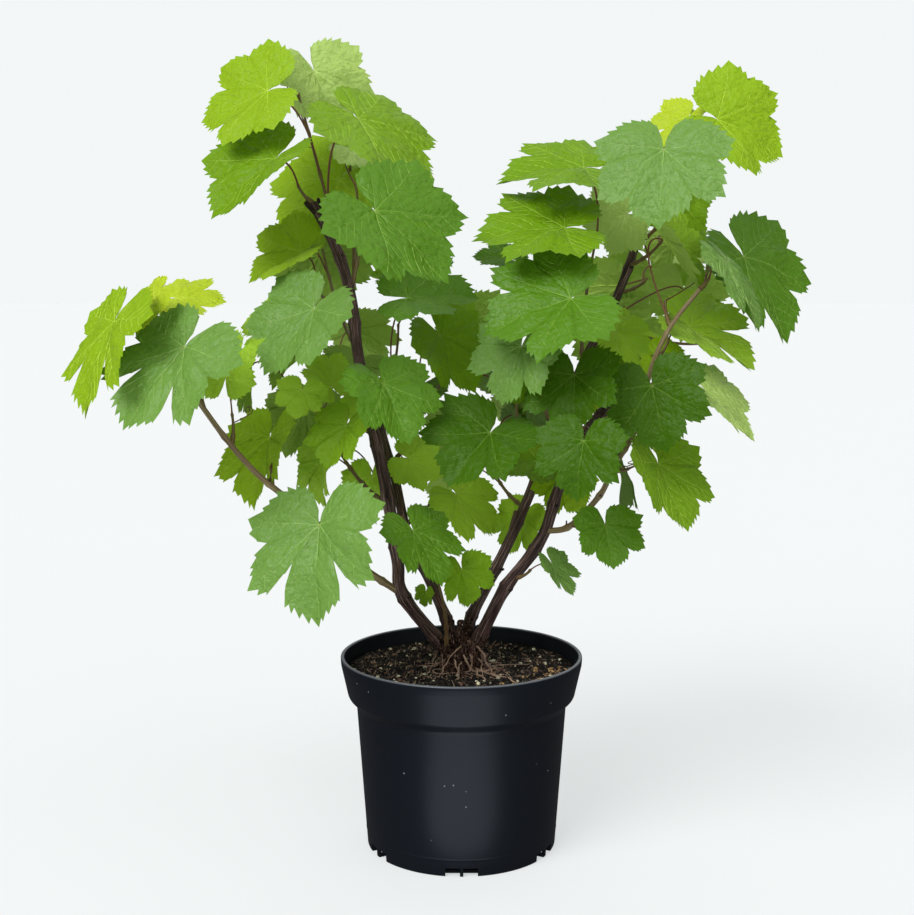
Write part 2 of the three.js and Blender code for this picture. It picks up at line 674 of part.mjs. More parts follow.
/** One leaf that grows by rule, or none where every try hits something or leaves the crown. */
function growLeaf(row, random, t) {
  const foot = stemPoint(row, t);
  const outward = THREE.MathUtils.radToDeg(Math.atan2(foot.x, -foot.y + 40));
  for (let i = 0; i < TRIES; i++) {
    const face = outward + mix(-75, 75, random());
    const rise = rad(mix(-20, 55, random()));
    const length = mix(28, 75, random());
    const size = mix(46, 72, random());
    const heading = rad(face + mix(-35, 35, random()));
    const way = [Math.sin(heading) * Math.cos(rise), -Math.cos(heading) * Math.cos(rise), Math.sin(rise)];
    const at = foot.clone().addScaledVector(vec(way), length).toArray();
    const given = { at, size, face, tilt: mix(10, 60, random()), roll: mix(-45, 45, random()) };
    const [fold, droop] = [mix(...LEAF.fold, random()), mix(...LEAF.droop, random())];
    const blade = { ...given, fold, droop, axes: bladeAxes(given), foot };
    const inside = outlineAngles.every((a) => inCrown(outlinePoint(blade, a)));
    if (inside && settle(row.name, foot, blade)) return blade;
  }
  return null;
}

const leavesOf = new Map(SHOOTS.map((row) => [row.name, []]));
const planned = SHOOTS.flatMap((row, i) => plannedLeaves(row, seeded(100 + i)));
planned.sort((a, b) => b.size - a.size); // the biggest are laid out first
for (const wish of planned) {
  const blade = setLeaf(wish);
  if (blade) leavesOf.get(wish.name).push(blade);
}
SHOOTS.forEach((row, i) => {
  const random = seeded(500 + i);
  for (let k = 0; k < row.grown; k++) {
    const grown = growLeaf(row, random, mix(STEM.bare, 1, (k + 0.5) / row.grown));
    if (grown) leavesOf.get(row.name).push(grown);
  }
});

// ------------------------------------------------------------------------------ masses
function stemSolid(row) {
  const points = stemLine(row, STEM.steps);
  const radii = points.map((_, i) => mix(STEM.foot, STEM.tip, i / STEM.steps));
  return solid(limbGeometry(points, radii, STEM.sides));
}

function petioleSolid(blade) {
  const line = petioleLine(blade.foot, blade, PETIOLE.steps);
  line[PETIOLE.steps].addScaledVector(blade.axes.midrib, PETIOLE.sunk);
  const radii = line.map((_, i) => mix(PETIOLE.foot, PETIOLE.tip, i / PETIOLE.steps));
  return solid(limbGeometry(line, radii, PETIOLE.sides));
}

function massSolid(row) {
  const parts = [stemSolid(row)];
  for (const blade of leavesOf.get(row.name)) parts.push(petioleSolid(blade), solid(bladeGeometry(blade)));
  return wasm.Manifold.union(parts).subtract(clearances[row.on]);
}

// ----------------------------------------------------------------------------- the vine
const vine = new THREE.Group();
vine.name = "potted_grapevine";

const container = new THREE.Group();
container.add(piece("pot", potSolid(), MATERIALS.pot));
container.add(piece("soil", soilSolid(), MATERIALS.soil));

const wood = new THREE.Group();
wood.add(piece("stump", stumpSolid(), MATERIALS.bark));
for (const [name, limb] of Object.entries(LIMBS)) {
  const material = limb.on === "stump" ? MATERIALS.bark : MATERIALS.shoot;
  wood.add(piece(name, limbBody(limb).subtract(clearances[limb.on]), material));
}

const foliage = new THREE.Group();
for (const row of SHOOTS) foliage.add(piece("mass_" + row.name, massSolid(row), MATERIALS.leaves));

vine.add(container, wood, foliage);
export default vine;
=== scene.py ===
# %% [markdown]
# # A young grapevine in a nursery pot
# This lesson dresses a small potted vine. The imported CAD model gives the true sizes: a round pot,
# its soil, a stump, four woody canes, two side shoots and forty-five sprays of leaves. The looks
# are grown again here by the same rule that laid the solids out, only finer. Lengths in the
# plant's tables are millimetres, as a grower would measure, and every mesh is made in metres.

# %% Load the frame and keep its box
import json
import math

import bmesh
import bpy
import numpy as np
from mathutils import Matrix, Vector, noise
from mathutils.bvhtree import BVHTree

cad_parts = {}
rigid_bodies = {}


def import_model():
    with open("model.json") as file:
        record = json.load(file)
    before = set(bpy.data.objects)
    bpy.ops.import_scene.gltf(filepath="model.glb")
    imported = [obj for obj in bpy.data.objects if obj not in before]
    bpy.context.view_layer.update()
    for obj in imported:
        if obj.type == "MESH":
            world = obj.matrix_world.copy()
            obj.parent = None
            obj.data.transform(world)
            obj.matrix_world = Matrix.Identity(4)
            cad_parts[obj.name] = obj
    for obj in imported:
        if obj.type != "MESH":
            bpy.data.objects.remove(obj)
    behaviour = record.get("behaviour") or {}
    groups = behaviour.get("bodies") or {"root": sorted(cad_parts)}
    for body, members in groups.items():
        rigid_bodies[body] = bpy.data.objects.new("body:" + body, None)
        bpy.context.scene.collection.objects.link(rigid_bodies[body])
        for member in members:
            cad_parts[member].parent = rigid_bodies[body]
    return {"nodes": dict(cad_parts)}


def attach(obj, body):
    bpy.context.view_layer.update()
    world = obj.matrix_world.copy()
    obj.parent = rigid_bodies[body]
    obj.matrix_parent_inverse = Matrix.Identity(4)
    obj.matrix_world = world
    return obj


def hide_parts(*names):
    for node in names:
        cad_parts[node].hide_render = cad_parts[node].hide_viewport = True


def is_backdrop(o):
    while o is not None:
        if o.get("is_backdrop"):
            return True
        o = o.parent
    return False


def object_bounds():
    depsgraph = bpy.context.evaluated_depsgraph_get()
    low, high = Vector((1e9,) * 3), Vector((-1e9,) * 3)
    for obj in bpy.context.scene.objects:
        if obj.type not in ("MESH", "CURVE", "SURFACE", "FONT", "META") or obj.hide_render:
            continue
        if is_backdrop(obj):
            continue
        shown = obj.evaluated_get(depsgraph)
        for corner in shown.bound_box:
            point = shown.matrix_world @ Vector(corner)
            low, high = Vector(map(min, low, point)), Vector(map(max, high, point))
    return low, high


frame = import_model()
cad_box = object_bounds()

MM = 0.001
print("CAD nodes:", len(frame["nodes"]), "box:", [[round(c, 3) for c in corner] for corner in cad_box])

# %% [markdown]
# ## The stage
# The plant stands on a plain pale floor under soft white light. The camera stands a good metre
# off, a little above the middle of the crown, and looks slightly down into the pot. A wider lens
# from closer by would spread the leaves in front, and a longer one from farther off would hide
# the soil. The view transform is the plain one, so whites stay white.

# %% Camera
EYE_ASIDE, EYE_DISTANCE, EYE_HEIGHT = -0.0041, 1.25, 0.5135
EYE_DIP, LENS, FILM_WIDTH = 6.8, 53.86, 36
camera_data = bpy.data.cameras.new("camera")
camera_data.lens = LENS
camera_data.sensor_width = FILM_WIDTH
camera = bpy.data.objects.new("camera", camera_data)
camera.location = (EYE_ASIDE, -EYE_DISTANCE, EYE_HEIGHT)
camera.rotation_euler = (math.radians(90 - EYE_DIP), 0, 0)
bpy.context.collection.objects.link(camera)
bpy.context.scene.camera = camera
bpy.context.scene.view_settings.view_transform = "Standard"
print("camera at", tuple(round(c, 3) for c in camera.location), "dips", EYE_DIP, "degrees")

# %% [markdown]
# ## Materials made of nodes
# Each finish starts from one Principled shader. Helpers add nodes by name, so that a material
# reads like a recipe: where its pattern lies, what the pattern is, and what it drives.

# %% Node helpers
def step(tree, kind, inputs=None, **properties):
    """Adds a node. An input is given as another node's output, which is linked, or as a plain value."""
    node = tree.nodes.new(kind)
    for key, value in properties.items():
        setattr(node, key, value)
    for key, value in (inputs or {}).items():
        if isinstance(value, bpy.types.NodeSocket):
            tree.links.new(value, node.inputs[key])
        else:
            node.inputs[key].default_value = value
    return node


def linear(colour):
    """An everyday 0-255 colour as the shader's linear numbers."""
    part = [c / 255 for c in colour]
    return (*[c / 12.92 if c <= 0.04045 else ((c + 0.055) / 1.055) ** 2.4 for c in part], 1)


def new_finish(name, colour, roughness, more=None):
    """A material of one Principled shader, with its tree and its shader."""
    material = bpy.data.materials.new(name)
    material.use_nodes = True
    shader = material.node_tree.nodes["Principled BSDF"]
    shader.inputs["Base Color"].default_value = linear(colour)
    shader.inputs["Roughness"].default_value = roughness
    for key, value in (more or {}).items():
        shader.inputs[key].default_value = value
    material.diffuse_color = linear(colour)
    return material, material.node_tree, shader


def pattern(tree, kind, scale, attribute=None, stretch=(1, 1, 1), **inputs):
    """A texture on Object coordinates or on a named attribute, stretched by `stretch`."""
    if attribute:
        source = step(tree, "ShaderNodeAttribute", attribute_name=attribute).outputs["Vector"]
    else:
        source = step(tree, "ShaderNodeTexCoord").outputs["Object"]
    place = step(tree, "ShaderNodeMapping", {"Vector": source, "Scale": stretch})
    settings = {key.title(): value for key, value in inputs.items()}
    return step(tree, kind, {"Vector": place.outputs["Vector"], "Scale": scale, **settings})


def colour_ramp(tree, factor, stops, target):
    """Turns a pattern's value into colours: stops are (place, everyday colour)."""
    ramp = step(tree, "ShaderNodeValToRGB", {"Fac": factor})
    while len(ramp.color_ramp.elements) < len(stops):
        ramp.color_ramp.elements.new(0.5)
    for element, (place, colour) in zip(ramp.color_ramp.elements, stops):
        element.position = place
        element.color = linear(colour)
    tree.links.new(ramp.outputs["Color"], target)


def relief(tree, height, shader, strength, distance):
    """Lets a pattern's value stand out as fine bumps, up to `distance` in metres."""
    node = step(tree, "ShaderNodeBump", {"Strength": strength, "Distance": distance, "Height": height})
    tree.links.new(node.outputs["Normal"], shader.inputs["Normal"])


def rougher(tree, factor, shader, low, high):
    """Lets a pattern move the roughness between two values."""
    spread = step(tree, "ShaderNodeMapRange", {"Value": factor, "To Min": low, "To Max": high})
    tree.links.new(spread.outputs["Result"], shader.inputs["Roughness"])


def mottled(name, colour, rough, scale, stops, bumps=None, more=None, **noise):
    """A finish whose colour follows a noise. `bumps` is the strength and height of its relief."""
    material, tree, shader = new_finish(name, colour, rough, more)
    blotches = pattern(tree, "ShaderNodeTexNoise", scale, **noise)
    colour_ramp(tree, blotches.outputs[0], stops, shader.inputs["Base Color"])
    if bumps:
        relief(tree, blotches.outputs[0], shader, *bumps)
    return material, tree, shader, blotches.outputs[0]


print("material helpers ready")

# %% [markdown]
# The floor and the light belong to the studio, not to the plant. A wide pale disc and a pale sky
# meet without a line. Black plastic is mostly seen by what it mirrors. So mirrors see a dim sky and
# no floor, and a pale card on the floor, which only mirrors see, gives the pot its broad highlight.

# %% Floor and card
# The floor glows a little, like a lit table, so the shadow on it stays pale.
FLOOR_TONE, FLOOR_GLOW = (141, 142, 142), (0.535, 0.552, 0.552, 1)
DISC_CORNERS = 96
stops = [(0, [c - 1 for c in FLOOR_TONE]), (1, [c + 1 for c in FLOOR_TONE])]
floor_finish = mottled("studio_floor", FLOOR_TONE, 0.9, 1.5, stops, more={
    "Specular IOR Level": 0.1, "Emission Color": FLOOR_GLOW, "Emission Strength": 1.0})[0]


def stage_disc(name, centre, reach, height, finish):
    """A flat oval of the stage, facing up."""
    turns = [2 * math.pi * k / DISC_CORNERS for k in range(DISC_CORNERS)]
    rim = [(centre[0] + reach[0] * math.cos(a), centre[1] + reach[1] * math.sin(a), height) for a in turns]
    mesh = bpy.data.meshes.new(name)
    mesh.from_pydata(rim, [], [list(range(DISC_CORNERS))])
    mesh.materials.append(finish)
    disc = bpy.data.objects.new(name, mesh)
    bpy.context.collection.objects.link(disc)
    disc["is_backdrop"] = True
    return disc


floor = stage_disc("floor", centre=(0, 0), reach=(80, 80), height=0, finish=floor_finish)
floor.visible_glossy = False
card = stage_disc("floor_card", centre=(0, -0.36), reach=(0.17, 0.24), height=0.001, finish=floor_finish)
card.visible_camera = card.visible_diffuse = card.visible_transmission = card.visible_shadow = False
print("floor and card")

# %% [markdown]
# The light is that of a bright, overcast room. A sky image would give livelier mirrors, but three
# wide lamps and a plain sky keep the leaves' own colours, and the key from the front left rounds
# every blade with a soft shadow.

# %% Sky and lamps
# The sky's strength as the camera sees it, as light on the plant, and in mirrors.
SKY_SEEN, SKY_LIGHT, SKY_MIRRORED = 0.97, 0.56, 0.07
world = bpy.data.worlds.new("studio")
bpy.context.scene.world = world
world.use_nodes = True
tree = world.node_tree
sky = tree.nodes["Background"]
sky.inputs["Color"].default_value = linear((246, 250, 250))
ray = tree.nodes.new("ShaderNodeLightPath")
seen = {0: ray.outputs["Is Camera Ray"], 1: SKY_SEEN - SKY_LIGHT, 2: SKY_LIGHT}
shown = step(tree, "ShaderNodeMath", seen, operation="MULTIPLY_ADD")
mirrored = {0: ray.outputs["Is Glossy Ray"], 1: SKY_MIRRORED - SKY_LIGHT, 2: shown.outputs[0]}
dim = step(tree, "ShaderNodeMath", mirrored, operation="MULTIPLY_ADD")
tree.links.new(dim.outputs[0], sky.inputs["Strength"])


def soft_sun(name, place, power, spread):
    """A lamp that shines from the side of `place`, as soft as its spread in degrees."""
    data = bpy.data.lights.new(name, "SUN")
    data.energy, data.angle = power, math.radians(spread)
    light = bpy.data.objects.new(name, data)
    light.rotation_euler = (-Vector(place)).to_track_quat("-Z", "Y").to_euler()
    bpy.context.collection.objects.link(light)


soft_sun("soft_key", (-1.5, -2.0, 2.4), power=2.75, spread=36)
soft_sun("soft_fill", (1.6, -1.6, 2.6), power=0.7, spread=60)
soft_sun("soft_back", (0.4, 2.2, 2.2), power=0.6, spread=60)

# %% [markdown]
# ## The plant's plan
# A vine is a few woody canes, thin shoots that spring from them, and leaves on long stalks. The
# canes and shoots here follow the same routes as the solids, and the leaves that shape the
# outline, the set leaves, keep their places. Each of them also names its tint. A leaf's colour comes
# partly from its age: old leaves are deep or dusty, and leaves at the tips yellow-green. It is also
# partly painted light: leaves in shade deep in the crown have lighter tints than their age gives,
# a front-lit one may have a darker tint, and the dusty tint's grey-blue is partly a painted sheen.
# Places could be scattered by chance instead, but then the outline would be another plant's.

# %% Canes: the limb they grow on, radius at foot and tip, and route
LIMBS = {
    "left_front": ("stump", (7, 5.2), [
        (-12, -4, 180), (-23, -8, 196), (-54, -25, 242), (-58, -28, 274), (-66, -30, 329), (-75, -30, 375),
        (-85, -28, 420), (-93, -25, 464), (-98, -22, 508), (-110, -18, 550), (-132, -14, 594)]),
    "left_rear": ("stump", (6.2, 4.6), [
        (-7, 8, 188), (-13, 11, 207), (-30, 22, 245), (-52, 32, 289), (-57, 36, 310),
        (-65, 44, 348), (-71, 48, 365), (-82, 55, 404)]),
    "right_rear": ("stump", (6.2, 4.6), [
        (6, 9, 190), (9, 13, 211), (28, 26, 246), (49, 40, 286), (64, 48, 320), (74, 54, 343),
        (95, 60, 394), (118, 62, 451), (141, 62, 495), (157, 62, 534), (167, 62, 566)]),
    "right_front": ("stump", (7, 4.8), [
        (10, -6, 180), (17, -9, 197), (36, -22, 240), (47, -26, 258), (63, -32, 280), (75, -36, 302),
        (81, -38, 322), (88, -40, 345), (107, -44, 388), (120, -46, 405), (140, -48, 427)]),
    "left_lateral": ("left_front", (3.8, 2.6), [
        (-54, -25, 242), (-89, -40, 270), (-122, -50, 305), (-152, -60, 334),
        (-180, -68, 360), (-204, -74, 390), (-228, -80, 426)]),
    "right_shoot": ("right_front", (3.2, 2.1), [
        (75, -36, 302), (96, -50, 309), (122, -56, 338), (132, -60, 361),
        (153, -62, 400), (164, -64, 450), (180, -66, 486), (204, -68, 518)]),
}
STUMP_TOP = [(0, 0, 170), (-14, -17, 190)]

# %% Shoots: limb, place on it, tip, set leaves (x, y, z, size, face, tilt, roll, tint), grown leaves
# A set leaf's tint is partly painted light: leaves in shade deep in the crown have lighter tints, and a
# front-lit one may have a darker tint.
SHOOTS = {
    "far_left": ("left_lateral", 5.7, (-258, -60, 498), [
        (-230, -105, 470, 85, -30, 40, -20, "dusty"), (-294, -70, 490, 84, -55, 32, 0, "fresh"),
        (-255, -72, 510, 44, -10, 60, 100, "young"), (-262, -52, 512, 42, -50, 55, -30, "young")], 0),
    "lateral_back": ("left_lateral", 4.8, (-200, -62, 410), [(-205, -60, 441, 45, -30, 12, 180, "light")], 1),
    "lateral_mid": ("left_lateral", 3.5, (-168, -56, 362), [(-174, -22, 384, 67, -50, 28, 5, "fresh")], 1),
    "low_left": ("left_lateral", 2.2, (-125, -80, 316), [(-120, -110, 320, 84, -35, 28, 12, "dusty")], 0),
    "left_inner": ("left_front", 3.9, (-124, -22, 412), [
        (-125, -15, 365, 46, -60, 10, 0, "light"), (-100, -65, 400, 43, -40, 30, -10, "grass"),
        (-140, -25, 430, 28, 0, 25, -10, "light"), (-120, 5, 430, 36, 40, 25, -160, "light")], 0),
    "left_shoulder": ("left_front", 7.7, (-128, -45, 520), [
        (-125, -90, 501, 70, -38, 38, -20, "dusty"), (-142, -25, 550, 55, -30, 50, -55, "fresh")], 0),
    "top_left": ("left_front", 8.5, (-146, 6, 690), [
        (-90, -30, 665, 87, 45, 50, 30, "grass"), (-170, -15, 690, 69, -22, 35, -70, "fresh"),
        (-165, 5, 712, 22, 40, 60, -140, "young"), (-135, 10, 716, 60, 30, 20, 20, "pale")], 0),
    "left_tip": ("left_front", 10, (-144, -24, 608), [(-160, -50, 629, 76, -40, 45, -30, "mid")], 0),
    "upper_left": ("left_front", 8.2, (-96, 12, 612), [
        (-70, -105, 580, 83, 32, 38, 35, "old"), (-115, 50, 620, 82, -30, 45, -40, "fresh"),
        (-100, 40, 648, 50, 25, 50, 60, "pale")], 1),
    "left_rear_top": ("left_rear", 7, (-60, 58, 485), [
        (-50, 25, 510, 66, -15, 55, 105, "old"), (-55, 65, 522, 38, 40, 60, -135, "mid")], 1),
    "left_rear_mid": ("left_rear", 5.2, (-42, 56, 415), [
        (-50, 30, 362, 38, 15, 40, 65, "light"), (-20, 50, 475, 64, 40, 30, 25, "mid")], 1),
    "left_centre": ("left_front", 6.2, (-74, -62, 438), [(-66, -105, 439, 56, 35, 38, 10, "old")], 0),
    "centre_left": ("right_rear", 4.6, (50, 0, 420), [
        (70, 0, 362, 49, 15, 65, -110, "mid"), (24, -88, 396, 62, -10, 45, -30, "deep"),
        (50, -80, 470, 52, -30, 20, -15, "dusty")], 0),
    "low_centre": ("left_front", 3.6, (-52, -52, 318), [(-42, -80, 310, 54, 50, 42, 5, "old")], 0),
    "basal": ("stump", 1, (-22, -36, 258), [
        (-33, -14, 240, 15, -40, 10, -5, "mid"), (0, -58, 270, 35, 30, 15, 10, "mid")], 0),
    "low_back": ("left_rear", 3.3, (-30, 42, 315), [(-5, 40, 325, 54, 35, 40, 40, "light")], 0),
    "left_gap": ("left_rear", 4.2, (-78, 55, 335), [(-85, 65, 340, 44, -50, 10, 5, "light")], 1),
    "top_right": ("right_rear", 9.8, (218, -2, 640), [
        (168, -80, 633, 71, -15, 28, 0, "dusty"), (205, 0, 672, 38, -45, 40, -20, "young"),
        (225, -20, 666, 69, 15, 30, 65, "fresh"), (222, 6, 668, 27, 70, 30, 175, "young")], 1),
    "right_shoulder": ("right_rear", 9.2, (188, 5, 572), [
        (150, -40, 586, 44, 20, 28, -75, "pale"), (205, 30, 600, 42, -40, 15, -5, "grass")], 1),
    "right_end": ("right_shoot", 7, (212, -66, 527), [
        (255, 0, 547, 87, 40, 32, 22, "old"), (222, -64, 540, 63, 65, 40, 5, "dusty")], 0),
    "right_high": ("right_shoot", 6, (178, -46, 508), [
        (176, -20, 562, 58, 65, 60, 20, "light"), (218, 15, 550, 24, -20, 50, -65, "pale")], 0),
    "right_mid": ("right_shoot", 5.1, (180, -54, 474), [
        (175, -25, 458, 30, 15, 30, 55, "fresh"), (204, -52, 484, 70, 35, 55, 40, "light")], 0),
    "right_drop": ("right_shoot", 4.2, (182, -74, 428), [
        (160, -98, 437, 58, -15, 15, 15, "deep"), (212, -62, 430, 61, 55, 50, 20, "pale")], 0),
    "right_low": ("right_shoot", 3, (146, -62, 362), [(171, -60, 367, 65, 50, 32, -2, "grass")], 0),
    "right_foot": ("right_shoot", 1.1, (112, -62, 314), [(125, -72, 314, 41, 18, 32, 0, "old")], 0),
    "right_front_tip": ("right_front", 9.6, (122, -66, 436), [
        (128, -18, 412, 46, 50, 35, 15, "fresh"), (95, -98, 446, 54, -25, 30, 8, "deep")], 0),
    "right_front_mid": ("right_front", 8, (104, -78, 400), [(99, -108, 395, 49, -25, 22, -3, "deep")], 0),
    "right_front_back": ("right_front", 6.6, (96, -12, 342), [(92, 4, 348, 42, 20, 20, 30, "fresh")], 0),
    "right_front_low": ("right_front", 3, (62, -38, 267), [(80, -40, 276, 34, 60, 40, 5, "dusty")], 0),
    "centre_high": ("right_rear", 6.9, (122, 0, 566), [
        (90, -108, 510, 78, -10, 45, -65, "old"), (88, -58, 570, 80, 0, 60, -90, "mid"),
        (107, -22, 624, 76, 8, 65, -95, "mid")], 1),
    "centre_back": ("right_rear", 7.5, (152, 34, 502), [(140, 22, 480, 44, 25, 45, 55, "light")], 2),
    "centre_rear_low": ("right_rear", 2.8, (52, 60, 305), [(60, 68, 300, 42, -40, 30, -15, "light")], 0),
    "centre_gap": ("right_rear", 5.8, (60, 20, 500), [
        (65, -38, 440, 32, -25, 40, -45, "mid"), (45, 20, 545, 36, 20, 60, -120, "deep")], 0),
    "back_left_low": ("left_rear", 3.6, (-92, 118, 335), [], 3),
    "back_left_mid": ("left_rear", 6.1, (-128, 128, 440), [], 4),
    "back_left_high": ("left_front", 7, (-140, 108, 580), [], 4),
    "back_left_top": ("left_front", 8, (-108, 84, 652), [], 3),
    "back_centre_low": ("right_rear", 3.7, (28, 128, 352), [], 4),
    "back_centre": ("left_rear", 6.7, (0, 138, 450), [], 4),
    "back_right_low": ("right_rear", 4.5, (132, 118, 340), [], 3),
    "back_right_mid": ("right_rear", 6.4, (150, 145, 440), [], 4),
    "back_right_high": ("right_rear", 8.5, (198, 128, 545), [], 4),
    "back_right_top": ("right_rear", 9.9, (172, 105, 618), [], 3),
    "side_right": ("right_rear", 7.8, (245, 62, 470), [], 3),
    "side_left": ("left_front", 5.4, (-172, 62, 432), [], 3),
}
print(len(LIMBS), "limbs,", len(SHOOTS), "shoots,", sum(len(row[3]) for row in SHOOTS.values()), "set leaves")

# %% [markdown]
# ## The growth rule
# The rule is the one that laid out the solids, step for step, so that each fine leaf lands where
# its plain one is. Set leaves go first, the biggest before the smaller ones, and each slides or
# tips until it is clear. Then every shoot grows a few more by chance. A leaf that would touch
# something already there is tried again elsewhere. Chance is a small seeded generator, so the
# plant is the same plant every time.

# %% Numbers of the rule
STEM = {"foot": 2.8, "tip": 1.7, "steps": 4, "bare": 0.45, "sag": 0.12, "kick": 0.15}
LEAF_FOLD, LEAF_DROOP = (0.02, 0.26), (0.06, 0.24)
SAMPLE_STEP = 8  # between the points of a blade that are tested for room
# The room that each thing keeps round it. "own" is the share of it that is kept within one shoot.
# Within its collar, so near its stalk, a leaf may even touch its own shoot.
ROOM = {"blade": 4.5, "stem": 2.6, "petiole": 1.8, "limb": 1.2, "own": 0.65, "collar": 16}
PETIOLE_STEPS, PETIOLE_BARE, PETIOLE_BOW = 20, 2, (0.3, 0.25)
STEM_STEPS, STEM_BARE = 50, 6
LIMB_STEPS = 8  # between two points of a limb's route
SHIFTS = (0, -8, 8, -16, 16, -25, 25, -35, 35, 45, 55)  # how a set leaf may slide forward or back
TIPS = (0, -12, 12, -24)  # and how its tilt may change
TRIES = 80  # chances that a grown leaf gets
SET_SEED, GROWN_SEED = 100, 500
# A grown leaf: turn from outward, rise of its stalk, stalk's length, size, sway, tilt and roll.
GROWN = {"turn": (-75, 75), "rise": (-20, 55), "stalk": (28, 75), "size": (46, 72),
         "sway": (-35, 35), "tilt": (10, 60), "roll": (-45, 45)}
CROWN_AXIS = 40  # grown leaves face away from an upright line this far behind the stump
# The rule's own plain blade: (angle from the midrib, reach). It ends beside the stalk.
OUTLINE = [(0, 1), (28, 0.68), (50, 0.97), (72, 0.74), (95, 0.78), (130, 0.58), (165, 0.32)]
BLADE_END = OUTLINE[-1][0]
RIM_ANGLES = [-a for a, _ in reversed(OUTLINE[1:])] + [a for a, _ in OUTLINE]
# The crown's space is three ovals, each a centre and its half sizes.
CROWN = [((-110, 60, 500), (125, 165, 195)), ((140, 65, 470), (140, 160, 180)),
         ((10, 70, 410), (185, 150, 135))]


def mix(a, b, t):
    """The value that lies a share `t` of the way from a to b."""
    return a + (b - a) * t


def seeded(seed):
    """A small generator of numbers from 0 to 1 that gives the same row for the same seed."""
    mask = 0xFFFFFFFF
    state = seed

    def draw():
        nonlocal state
        state = (state + 0x6D2B79F5) & mask
        t = ((state ^ (state >> 15)) * (1 | state)) & mask
        t = (t + ((t ^ (t >> 7)) * (61 | t)) ^ t) & mask
        return (t ^ (t >> 14)) / 4294967296

    return draw


chance = seeded(SET_SEED)
print("chance starts with", [round(chance(), 3) for _ in range(3)])


# %% Routes and stems
def along(route, place):
    """The point of a smooth curve through the route, `place` route points along it."""
    p = np.array(route, float)
    i = min(int(place), len(p) - 2)
    w = place - i
    after = p[i + 2] if i + 2 < len(p) else 2 * p[-1] - p[-2]
    before = p[i - 1] if i > 0 else (2 * p[0] - p[1] if len(p) > 2 else after)
    v0, v1 = 0.5 * (p[i + 1] - before), 0.5 * (after - p[i])
    cubic, square = 2 * (p[i] - p[i + 1]) + v0 + v1, 3 * (p[i + 1] - p[i]) - 2 * v0 - v1
    return ((cubic * w + square) * w + v0) * w + p[i]


def unit(v):
    """The same direction, one long."""
    return v / np.linalg.norm(v)


def bow(foot, bend, tip, steps):
    """Points of the curve that leaves `foot` towards `bend` and comes to `tip` from it."""
    t = np.linspace(0, 1, steps + 1)[:, None]
    return foot * (1 - t) ** 2 + bend * (2 * t * (1 - t)) + tip * t * t


def route_of(name):
    """The route of a limb, or of the stump's top."""
    return STUMP_TOP if name == "stump" else LIMBS[name][2]


def stem_line(name, steps):
    """The middle line of a shoot's stem: it kicks away from its limb and sags a little."""
    on, place, end = SHOOTS[name][:3]
    route, tip = route_of(on), np.array(end, float)
    foot = along(route, place)
    way = unit(along(route, min(place + 0.1, len(route) - 1)) - along(route, max(place - 0.1, 0)))
    length = np.linalg.norm(tip - foot)
    away = unit(tip - foot - way * np.dot(tip - foot, way))
    bend = (foot + tip) / 2 + away * STEM["kick"] * length
    bend[2] -= STEM["sag"] * length
    return bow(foot, bend, tip, steps)


def stem_point(name, share):
    """The point a share of the way along a shoot's stem."""
    line = stem_line(name, STEM["steps"])
    whole = min(int(share * STEM["steps"]), STEM["steps"] - 1)
    return mix(line[whole], line[whole + 1], share * STEM["steps"] - whole)


print("the top left stem starts at", stem_point("top_left", 0).round())


# %% Plain blades and petioles
def blade_axes(face, tilt, roll):
    """Three directions of a leaf: along its midrib, across it, and out of its face."""
    a, e, r = math.radians(face), math.radians(tilt), math.radians(roll)
    normal = np.array([math.sin(a) * math.cos(e), -math.cos(a) * math.cos(e), math.sin(e)])
    right = np.array([math.cos(a), math.sin(a), 0])
    down = unit(np.array([0, 0, -1]) + normal * math.sin(e))
    midrib = down * math.cos(r) + right * math.sin(r)
    return midrib, np.cross(normal, midrib), normal


def reach(angle):
    """How far a blade reaches at an angle from its midrib, as a share of its size."""
    angles, reaches = zip(*OUTLINE)
    return np.where(np.abs(angle) >= BLADE_END, 0, np.interp(np.abs(angle), angles, reaches))


def blade_points(leaf, u, v):
    """Points of a folded, drooping blade, `u` along its midrib and `v` across it."""
    midrib, across, normal = leaf["axes"]
    lift = leaf["fold"] * np.abs(v) - leaf["droop"] * (u * u + v * v)
    return leaf["at"] + leaf["size"] * (np.outer(u, midrib) + np.outer(v, across) + np.outer(lift, normal))


def rim_points(leaf):
    """The corners of a plain blade."""
    angles = np.clip(RIM_ANGLES, 0.01 - BLADE_END, BLADE_END - 0.01)
    r, a = reach(angles), np.radians(RIM_ANGLES)
    return blade_points(leaf, r * np.cos(a), r * np.sin(a))


def blade_samples(leaf):
    """Points spread evenly over a blade."""
    cells = int(leaf["size"] / SAMPLE_STEP)
    steps = np.arange(-cells, cells + 1) * SAMPLE_STEP / leaf["size"]
    u, v = (grid.ravel() for grid in np.meshgrid(steps, steps, indexing="ij"))
    inside = np.hypot(u, v) < reach(np.degrees(np.arctan2(v, u)))
    return np.vstack([rim_points(leaf), blade_points(leaf, u[inside], v[inside])])


def petiole_line(leaf, foot, steps):
    """The middle line of a leaf's stalk, which comes to the blade from behind and below."""
    midrib, _, normal = leaf["axes"]
    length = np.linalg.norm(leaf["at"] - foot)
    bend = leaf["at"] - midrib * PETIOLE_BOW[0] * length - normal * PETIOLE_BOW[1] * length
    return bow(foot, bend, leaf["at"], steps)


print("a plain blade has", len(RIM_ANGLES), "corners")


# %% Room: nothing may grow where something else is
taken = []


def take(owner, points, room):
    """Notes that these points, and the room round them, are taken."""
    taken.append((owner, points, room, points.min(0), points.max(0)))


